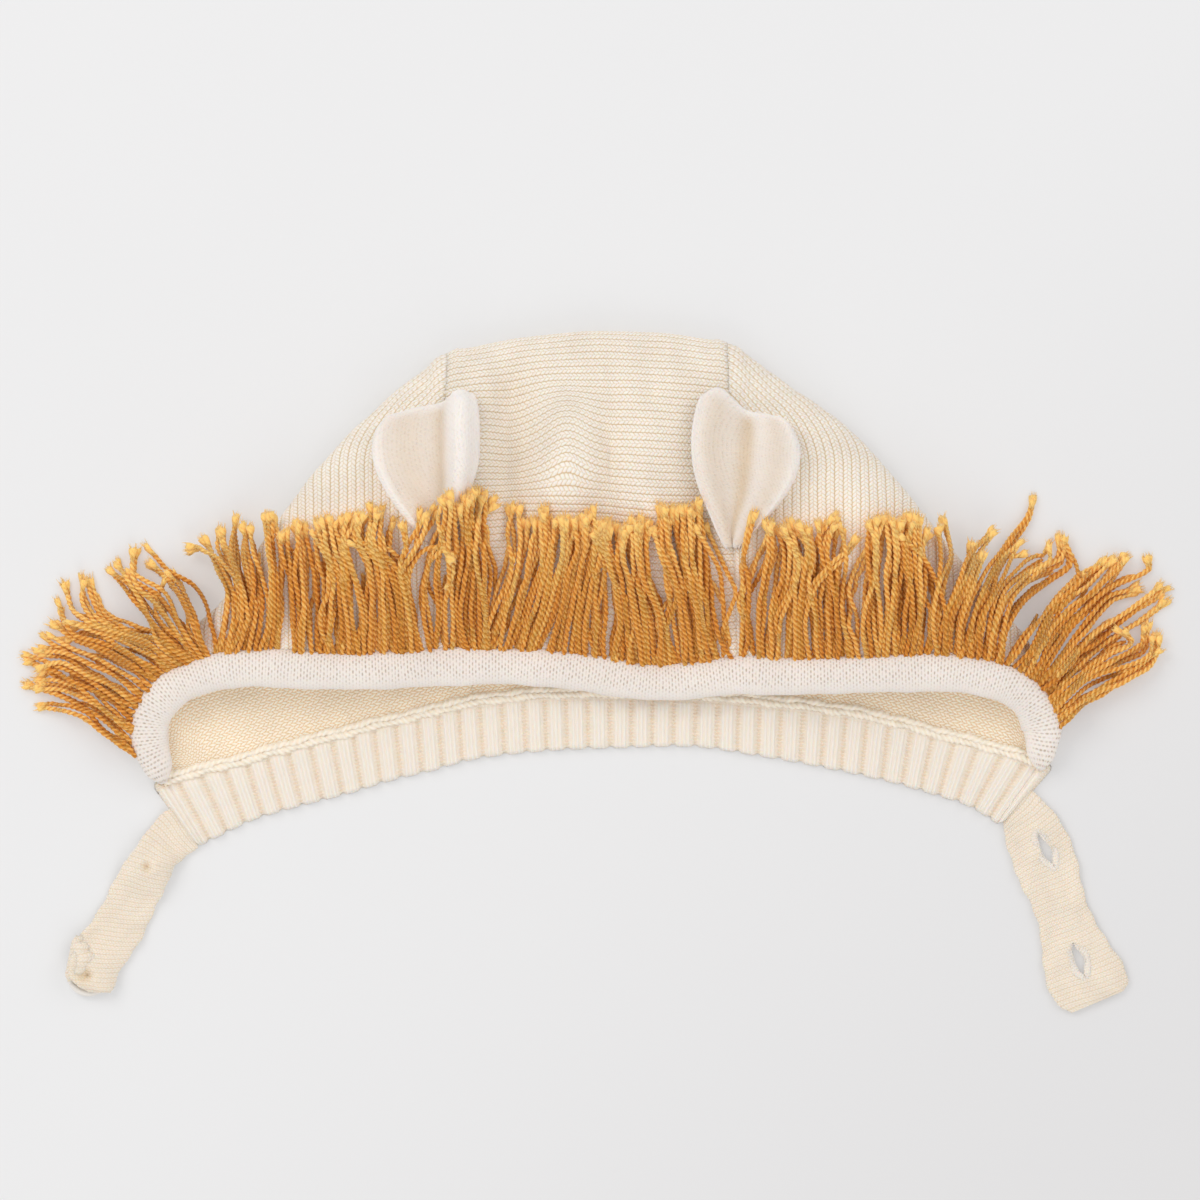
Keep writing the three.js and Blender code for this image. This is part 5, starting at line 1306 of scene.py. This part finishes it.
    (5, 3.2, 2.8, [(25.4, -5), (24.3, 9.9), (19.3, 23.1), (17.2, 33.7), (17.9, 44)]),
    (4, 2.8, 2.8, [(28.6, -4.6), (23.6, 7.1), (27.2, 19.5), (23.6, 31.9), (21.1, 42.6)]),
    (5, 2.8, 2.5, [(31.4, -4.3), (30, 10.6), (27.2, 24.8), (24.3, 37.3), (23.6, 50.4)]),
    (5, 2.8, 2.8, [(34.6, -3.9), (32.8, 10.6), (30, 24.8), (27.5, 37.3), (27.2, 48.3)]),
    (5, 2.8, 2.8, [(37.8, -3.5), (36.4, 9.9), (32.8, 24.8), (31.1, 37.3), (30.7, 49.7)]),
    (4, 2.5, 2.5, [(40.3, -3.2), (38.5, 10.6), (36, 24.8), (34.3, 37.3), (33.5, 51.1)]),
    (4, 2.1, 2.1, [(42.8, -2.8), (40.3, 8.9), (38.5, 21.3), (37.1, 35.5), (36, 51.5)]),
    (1, 0.7, 0.7, [(44.9, -2.5), (43.8, 5.3), (46.7, 15.6), (47.7, 22), (42.8, 33.7), (37.5, 46.1)]),
    (3, 2.5, 1.8, [(47.7, -2.5), (44.9, 3.5), (42.8, 12.4), (41.4, 21.3), (39.2, 31.9), (36.4, 42.6)]),
    (2, 1.1, 1.1, [(52, -2.1), (52.7, 8.9), (52.4, 21.3), (52, 33.7), (54.8, 46.9)]),
    (2, 1.4, 1.1, [(55.6, -2.1), (54.1, 10.6), (52.7, 17.8), (57.7, 28.4), (61.2, 39), (60.5, 43.3)]),
    (5, 2.8, 2.5, [(59.1, -2.1), (59.1, 10.6), (60.5, 23.1), (62.7, 34.8), (60.9, 43)]),
    (5, 2.8, 2.5, [(61.9, -2.5), (62.3, 10.6), (64.8, 22), (66.6, 33.7), (64.8, 43)]),
    (4, 2.8, 2.5, [(65.5, -2.5), (66.2, 10.6), (69.8, 21.3), (71.5, 31.2), (65.5, 42.6)]),
    (5, 2.8, 2.8, [(68.7, -2.5), (69, 11.4), (70.1, 24.8), (70.8, 35.5), (67.6, 43.7)]),
    (5, 2.8, 2.8, [(71.9, -2.5), (71.5, 10.6), (72.6, 24.8), (74.7, 35.5), (71.5, 43)]),
    (3, 2.5, 1.8, [(74.7, -2.5), (72.6, 11.4), (75.1, 21.3), (80.4, 28.4), (87.5, 34.8), (91.8, 38.3)]),
    (4, 2.8, 2.8, [(77.6, -2.1), (76.9, 10.6), (74.7, 23.1), (75.4, 33.7), (74.7, 42.6)]),
    (4, 2.8, 2.1, [(80.8, -2.1), (79.7, 11.4), (79, 24.8), (79, 37.3), (84, 46.9)]),
    (4, 2.8, 2.5, [(84, -2.1), (83.2, 11.4), (81.8, 24.8), (79.7, 34.8), (79, 43.3)]),
    (4, 2.5, 2.5, [(86.8, -2.1), (85.4, 11.4), (84, 24.8), (82.5, 35.5), (84.7, 43.3)]),
    (3, 2.1, 1.8, [(89.6, -1.8), (87.5, 10.6), (85.4, 21.3), (86.8, 31.9), (86.1, 42.6)]),
    (2, 1.4, 1.1, [(92.5, -1.8), (89.3, 8.9), (88.6, 19.5), (91.1, 27.7), (95.3, 33.7)]),
    (5, 2.8, 2.5, [(96, -1.8), (94.6, 11.4), (96, 24.8), (96.7, 35.5), (97.4, 45.1)]),
    (5, 2.8, 2.8, [(98.9, -1.4), (98.9, 11.4), (98.9, 24.8), (99.9, 36.2), (100.3, 45.4)]),
    (5, 2.8, 2.8, [(102.1, -1.4), (102.4, 11.4), (102.4, 24.8), (103.1, 36.2), (103.8, 45.8)]),
    (5, 2.8, 2.8, [(105.3, -1.4), (106, 11.4), (106.7, 24.8), (106.7, 36.2), (107.4, 45.8)]),
    (5, 2.8, 2.8, [(108.5, -1.1), (109.5, 11.4), (109.5, 24.8), (109.2, 36.2), (110.2, 45.8)]),
    (5, 2.8, 2.5, [(111.6, -1.1), (113.1, 11.4), (113.8, 24.8), (113.8, 36.2), (113.1, 46.1)]),
    (3, 2.5, 1.8, [(114.8, -1.1), (115.9, 10.6), (115.2, 21.3), (115.2, 31.9), (117.3, 42.2)]),
    (3, 1.8, 1.4, [(123, -1.4), (122.7, 10.6), (120.2, 21.3), (114.5, 31.2), (107.7, 39.8)]),
    (3, 2.1, 1.8, [(117.3, -1.1), (118.4, 10.6), (119.5, 21.3), (121.2, 31.9), (120.9, 44.7)]),
    (3, 1.8, 1.4, [(120.2, -1.1), (120.2, 10.6), (122.3, 23.1), (125.5, 33.7), (123.4, 45.1)]),
    (4, 2.5, 2.1, [(121.6, -1.4), (123.7, 10.6), (127.6, 21.3), (131.5, 30.2), (132.9, 36.6)]),
    (4, 2.5, 1.4, [(124.4, -1.4), (125.8, 9.9), (130.1, 21.3), (134, 32.7), (140, 41.5)]),
    (4, 2.5, 1.8, [(127.3, -1.8), (128.7, 10.6), (132.9, 21.3), (135.1, 28.4), (136.5, 33.4)]),
    (2, 1.4, 0.7, [(129.8, -1.8), (131.5, 10.6), (137.2, 24.8), (145, 36.9), (152.8, 46.9), (155.7, 53.2)]),
    (4, 2.5, 1.8, [(131.9, -2.1), (133.7, 9.9), (137.9, 21.3), (143.6, 31.2), (149.3, 37.3)]),
    (3, 2.1, 1.1, [(134.7, -2.5), (135.8, 8.9), (139.3, 20.6), (143.6, 31.9), (152.1, 34.4)]),
    (3, 2.1, 1.4, [(137.6, -2.8), (138.6, 8.9), (143.6, 21.3), (152.1, 29.1), (159.2, 31.9), (160.3, 36.6)]),
    (4, 2.1, 2.1, [(140.4, -3.2), (141.5, 7.8), (147.1, 20.6), (156.4, 27), (164.9, 31.2), (164.9, 38.7)]),
    (2, 1.4, 1.4, [(142.9, -3.5), (144, 7.1), (150.7, 18.5), (159.9, 26.3), (167, 31.2), (165.6, 39)]),
    (3, 2.2, 1.2, [(145.6, -4.6), (150.2, 3.6), (156.6, 12), (166, 20.5), (174.5, 27.5)]),
    (1, 0.7, 0.7, [(147.9, -5.3), (154.2, 3.5), (157.8, 13.5), (166.3, 21.3), (169.2, 28.4), (166.3, 38.3)]),
    (4, 2.1, 2.1, [(150, -6.4), (155.7, 3.5), (160.6, 14.2), (171.3, 24.1), (181.2, 31.9)]),
    (4, 2.1, 2.5, [(152.1, -7.5), (158.5, 3.5), (164.9, 14.2), (175.5, 23.1), (184.1, 31.9)]),
    (4, 2.1, 2.1, [(154.2, -8.5), (160.6, 1.8), (167.7, 12.4), (178.4, 22), (188.3, 33.4)]),
    (3, 2.1, 1.4, [(156, -9.9), (163.5, 0.7), (172, 11.4), (183.4, 22), (195.4, 27.7), (195.4, 33)]),
    (4, 2.1, 2.8, [(157.4, -11.4), (165.6, -0.7), (174.1, 8.9), (182.6, 17.8), (191.2, 21.3)]),
    (3, 2.1, 1.4, [(158.9, -12.8), (167.7, -2.8), (176.3, 5.7), (188.3, 13.5), (201.8, 24.5)]),
    (3, 2.1, 1.4, [(160.3, -14.6), (169.2, -5), (178.4, 4.3), (190.5, 12.8), (203.2, 21.3)]),
    (3, 2.1, 1.8, [(161.3, -16.3), (170.6, -6.4), (180.5, 2.8), (191.9, 9.9), (203.2, 17.8)]),
    (3, 1.8, 2.8, [(162.1, -18.1), (172, -8.5), (182.6, -0.7), (189, 2.8), (186.9, 7.1)]),
    (4, 2.1, 2.8, [(162.8, -19.9), (172.7, -10.6), (183.4, -5), (194, 0.7), (195.4, 7.8)]),
    (3, 1.8, 2.1, [(163.5, -21.7), (174.1, -13.5), (184.8, -7.8), (195.4, -2.1), (198.3, 5.7)]),
    (3, 1.4, 1.8, [(164.2, -23.8), (174.8, -15.6), (186.2, -9.9), (196.1, -3.5), (199.7, 3.5)]),
    (2, 1.4, 1.4, [(164.9, -26.3), (170.6, -19.9), (179.8, -14.2), (189.7, -8.5), (199, -0.7)]),
]


edgeLine = sectionAt(np.linspace(0, lastSection, 400))


def layStrand(plan, rng):
    # lays a strand on what is under it, no steeper than yarn falls, and piles it on the strands before
    radius = fringe["ply"] * 1.35
    points = np.concatenate([plan, np.zeros((len(plan), 1))], axis=-1)
    height = np.minimum(bedAround(points), bedAround(points, bareHeight) + fringe["pile"]) + radius
    fall = fringe["slope"] * np.linalg.norm(np.diff(plan, axis=0), axis=1)
    for i in range(1, len(height)):
        height[i] = max(height[i], height[i - 1] - fall[i - 1])
    for i in range(len(height) - 2, -1, -1):
        height[i] = max(height[i], height[i + 1] - fall[i])
    for _ in range(4):
        height[1:-1] = (height[:-2] + 2 * height[1:-1] + height[2:]) / 4
    share = np.linspace(0, 1, len(height))
    height = height + rng.uniform(0, fringe["loft"]) * np.sin(share * math.pi) ** 2
    # it starts inside the rolled edge, about half way up
    nearest = np.argmin(np.linalg.norm(edgeLine["edge"] - plan[0], axis=-1))
    away = lengthAlong(plan)
    start = edgeLine["edgeHeight"][nearest] + rng.uniform(fringe["rootLow"], fringe["rootHigh"])
    height = np.minimum(height, start + fringe["rootSlope"] * away)
    points[:, 2] = np.maximum(height, radius)
    np.maximum.at(bedHeight, bedCell(points), np.where(away > 2.5, height + radius * 0.25, 0.0))
    return points


bends = [(1.0, 1), (0.6, 2), (0.22, 4.6), (0.1, 9)]  # a strand's own bends: size in mm, half waves


def strandPlan(line, along, rootShift, tipShift, cut, rng):
    # one strand's plan: the lock's line shifted sideways, with its own slow bends
    count = len(line)
    t = np.linspace(-0.14, (count - 1) * cut, 200)
    plan = np.stack([smoothValue(line[:, k], t, 0, count - 1) for k in range(2)], axis=-1)
    share = np.linspace(0, 1, len(t))
    tangent = unit(np.gradient(plan, axis=0))
    sideways = np.stack([-tangent[:, 1], tangent[:, 0]], axis=-1)
    bend = sum(rng.normal(0, size) * np.sin(share * turns * math.pi) for size, turns in bends)
    rootMove = np.asarray(along)[None, :] * (rootShift * (1 - share) ** 1.5)[:, None]
    plan = plan + rootMove + sideways * (tipShift * share ** 1.3 + bend * 1.2)[:, None]
    length = lengthAlong(plan)
    even = np.linspace(0, length[-1], max(8, int(length[-1] / fringe["ring"])))
    return np.stack([np.interp(even, length, plan[:, k]) for k in range(2)], axis=-1)


def frayEnd(tip, direction, rng, base):
    # the brush a cut end opens into: a fan with a ragged, hollow end and a few loose fibres
    direction = unit(direction * [1, 1, 0.5])
    side = unit(np.cross(direction, [0.0, 0.0, 1.0]))
    over = np.cross(side, direction)
    around = fringe["frayAround"]
    reach = fringe["frayLength"] * rng.uniform(0.75, 1.2)
    wide = fringe["frayWidth"] * rng.uniform(0.8, 1.2)
    drift = rng.uniform(-0.5, 0.5)
    angle = np.linspace(0, 2 * math.pi, around, endpoint=False)
    ragged = rng.uniform(-0.34, 0.12, around)
    fluted = 1 + 0.16 * np.where(np.arange(around) % 2, 1, -1) + rng.uniform(-0.08, 0.08, around)
    points, places, tones = [], [], []
    for t, halfWide, halfHigh, inward in frayRings:
        end = ragged if t == 1.0 else 0 * ragged
        widen = halfWide * wide / 1.25 if t > 0.3 else halfWide
        uneven = mix(1, fluted, min(t / 0.5, 1))
        middle = tip + direction * (t * reach - 0.9) + side * (drift * t ** 2)
        ring = (middle + direction * (end * reach)[:, None] + side * (np.cos(angle) * widen * uneven)[:, None]
                + over * (np.sin(angle) * halfHigh * uneven)[:, None])
        points.append(ring)
        places.append(paired(1.6 * angle / (2 * math.pi) - t * reach / 4, t * reach / 4))
        tones.append((0.65 if inward else 0.6 + 0.4 * t) + rng.uniform(-0.08, 0.08, around))
    faces = closedTube(len(frayRings), around, base, flip=True)
    start = base + len(frayRings) * around
    t = np.array([0.4, 0.75, 1.0, 1.25])
    thin = np.array([0.2, 0.18, 0.13, 0.05])[:, None]
    for _ in range(fringe["frayFibres"]):
        spread = rng.uniform(-1, 1)
        line = (tip + direction * (t * reach - 0.9)[:, None]
                + side * (spread * wide * t ** 1.3 + drift * t ** 2)[:, None]
                + over * (rng.uniform(-0.5, 0.8) * t ** 1.5)[:, None])
        line = line + side * (0.3 * rng.uniform(-1, 1) * np.sin(t * 3))[:, None]
        ring, place, _ = tubeAlong(line, thin, 3)
        points.append(ring.reshape(-1, 3))
        places.append(place.reshape(-1, 2))
        tones.append(np.full(len(t) * 3, fringe["fibreTone"]))
        faces += closedTube(len(t), 3, start, flip=True)
        start += len(t) * 3
    points = np.concatenate(points)
    points[:, 2] = np.maximum(points[:, 2], 0.03)
    return points, np.concatenate(places), faces, np.concatenate(tones), start


def lockStrands(rng):
    # every strand to lay: the short ones under the locks first, then the others in a shuffled order
    jobs, under = [], []
    for number, (count, rootSpread, tipSpread, line) in enumerate(lockRows):
        line = np.array(line)
        before = np.array(lockRows[max(number - 1, 0)][3][0])
        after = np.array(lockRows[min(number + 1, len(lockRows) - 1)][3][0])
        along = unit(after - before)
        strands = count - 1 if count in (3, 4) else count
        for k in range(strands):
            offset = (k + 0.5) / strands - 0.5
            jobs.append((line, along, offset * rootSpread + rng.normal(0, 0.25), -offset * tipSpread,
                         rng.uniform(fringe["shortest"], 1.0)))
        if count > 1:
            under.append((line, along, rng.uniform(-0.5, 0.5) * rootSpread,
                          rng.uniform(-0.6, 0.6) * tipSpread, rng.uniform(*fringe["underCut"])))
    shuffled = [jobs[k] for k in rng.permutation(len(jobs))]
    return [(job, True) for job in under] + [(job, False) for job in shuffled]


def makeFringePiece(name, strands, rng):
    allPoints, allPlaces, faces, tones, start = [], [], [], [], 0
    for points, hidden in strands:
        count, around = len(points), fringe["underAround" if hidden else "around"]
        taper = np.ones(count)
        taper[-3:] = [0.95, 0.85, 0.7]
        ring, place, length = tubeAlong(points, fringe["ply"] * 1.8, around, fringe["twist"], fringe["waist"],
                                        rng.uniform(0, 6.28))
        ring = points[:, None, :] + (ring - points[:, None, :]) * taper[:, None, None]
        ring[..., 2] = np.maximum(ring[..., 2], 0.02)
        tone = np.full((count, around), rng.uniform(fringe["darkest"], fringe["palest"]))
        share = (length / length[-1])[:, None]
        # paler where the tip frays; painted shade darkens the strand near its root, under the rolled edge
        tone = tone + fringe["tipTone"] * share ** 4 - fringe["rootShade"] * (1 - share) ** 2
        allPoints.append(ring.reshape(-1, 3))
        allPlaces.append(place.reshape(-1, 2) + [0, rng.uniform(0, 50)])
        tones.append(tone.ravel())
        faces += closedTube(count, around, start, flip=True)
        start += count * around
        if not hidden:
            frayed = frayEnd(points[-2], unit(points[-1] - points[-4]), rng, start)
            allPoints.append(frayed[0])
            allPlaces.append(frayed[1])
            faces += frayed[2]
            tones.append(frayed[3])
            start = frayed[4]
    piece = addPiece(f"fringe_{name}", np.concatenate(allPoints), faces, mustardYarn,
                     {"yarn": np.concatenate(allPlaces)}, np.concatenate(tones))
    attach(piece, "root")
    print(f"fringe {name}: {len(strands)} strands, {len(piece.data.polygons)} faces")
    return piece


def makeFringe():
    rng = np.random.default_rng(fringe["seed"])
    groups = {name: [] for name in fringe["ends"]}
    for (line, *shifts), hidden in lockStrands(rng):
        points = layStrand(strandPlan(line, *shifts, rng), rng)
        name = [label for label, end in fringe["ends"].items() if line[0][0] < end][0]
        groups[name].append((points, hidden))
    return [makeFringePiece(name, strands, rng) for name, strands in groups.items()]


raiseBed(rollPoints)
bareHeight = bedHeight.copy()
fringePieces = makeFringe()
for piece in fringePieces:
    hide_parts("fringe")

print("fringe laid")

# The floor, the light and the camera, in metres. The camera looks straight down.
setting = dict(
    photoMiddle=(1.6, 17.75), photoWidth=0.426, lens=200.0, sensor=36.0, sky=0.74, skyColour="#f6f6f8",
    lights=[
        # name, watts, place, size, colour
        ("window", 12.0, (-1.1, 0.9, 1.5), 1.2, "#fffaf5"),
        ("right panel", 5.5, (1.2, 0.9, 1.4), 1.2, "#fffaf5"),
        ("front panel", 6.0, (0.1, -1.5, 1.3), 1.2, "#fff8ee"),
    ],
)


def paintedBoard(name, values):
    # White painted board, rolled matt: pale grey with a faint mottle, lit a little from behind so that
    # shadows on it stay pale.
    material, tree = newMaterial(name)
    place = addNode(tree, "ShaderNodeTexCoord", {}, {}).node.outputs[3]
    mottle = addNode(tree, "ShaderNodeTexNoise", {}, {"Vector": place, "Scale": 6.0, "Detail": 4.0})
    colour = addNode(tree, "ShaderNodeMix", {"data_type": "RGBA"}, {
        "Factor": mottle, 6: toLinear(values["lightColour"]), 7: toLinear(values["mottleColour"]),
    }).node.outputs[2]
    # painted shade: slightly darker towards the front right corner, where the light falls off
    slope = addNode(tree, "ShaderNodeVectorMath", {"operation": "DOT_PRODUCT"}, {
        0: place, 1: (0.7, -0.7, 0.0),
    }).node.outputs[1]
    slope = addNode(tree, "ShaderNodeMapRange", {"interpolation_type": "SMOOTHSTEP"}, {
        "Value": slope, "From Min": -0.05, "From Max": 0.3,
    })
    colour = addNode(tree, "ShaderNodeMix", {"data_type": "RGBA"}, {
        "Factor": slope, 6: colour, 7: toLinear(values["falloffShadeColour"]),
    }).node.outputs[2]
    surface = addNode(tree, "ShaderNodeBsdfPrincipled", {}, {
        "Base Color": colour, "Roughness": 0.75, "Specular IOR Level": 0.2,
        "Emission Color": toLinear(values["glowColour"]), "Emission Strength": values["glow"],
    })
    addNode(tree, "ShaderNodeOutputMaterial", {}, {"Surface": surface})
    return material


floorMesh = bpy.data.meshes.new("floor")
floorMesh.from_pydata([(-3, -3, 0), (3, -3, 0), (3, 3, 0), (-3, 3, 0)], [], [(0, 1, 2, 3)])
floorMesh.materials.append(paintedBoard("board, rolled matt white", dict(
    lightColour="#c8c9ca", mottleColour="#c6c7c8", falloffShadeColour="#bbbbbc", glowColour="#ffffff", glow=0.25,
)))
floor = bpy.data.objects.new("floor", floorMesh)
bpy.context.scene.collection.objects.link(floor)

world = bpy.data.worlds.new("studio")
world.use_nodes = True
sky = world.node_tree.nodes["Background"]
sky.inputs["Color"].default_value = toLinear(setting["skyColour"])
sky.inputs["Strength"].default_value = setting["sky"]
bpy.context.scene.world = world

for name, watts, place, size, colour in setting["lights"]:
    panelLight = bpy.data.lights.new(name, "AREA")
    panelLight.energy, panelLight.size = watts, size
    panelLight.color = toLinear(colour)[:3]
    lamp = bpy.data.objects.new(name, panelLight)
    lamp.location = place
    tilt = math.atan2(math.hypot(place[0], place[1]), place[2])
    lamp.rotation_euler = (tilt, 0, math.atan2(place[0], -place[1]))
    bpy.context.scene.collection.objects.link(lamp)

camera = bpy.data.cameras.new("camera")
camera.lens, camera.sensor_width = setting["lens"], setting["sensor"]
camera.clip_end = 20
cameraObject = bpy.data.objects.new("camera", camera)
cameraObject.location = (
    (setting["photoMiddle"][0] + frameShift[0]) / 1000, (setting["photoMiddle"][1] + frameShift[1]) / 1000,
    setting["photoWidth"] * setting["lens"] / setting["sensor"],
)
bpy.context.scene.collection.objects.link(cameraObject)
bpy.context.scene.camera = cameraObject
bpy.context.scene.view_settings.view_transform = "Standard"

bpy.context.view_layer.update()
triangles = [
    sum(len(face.vertices) - 2 for face in piece.data.polygons)
    for piece in bpy.data.objects if piece.type == "MESH"
]
print("scene ready,", sum(triangles), "triangles, most in one piece", max(triangles))
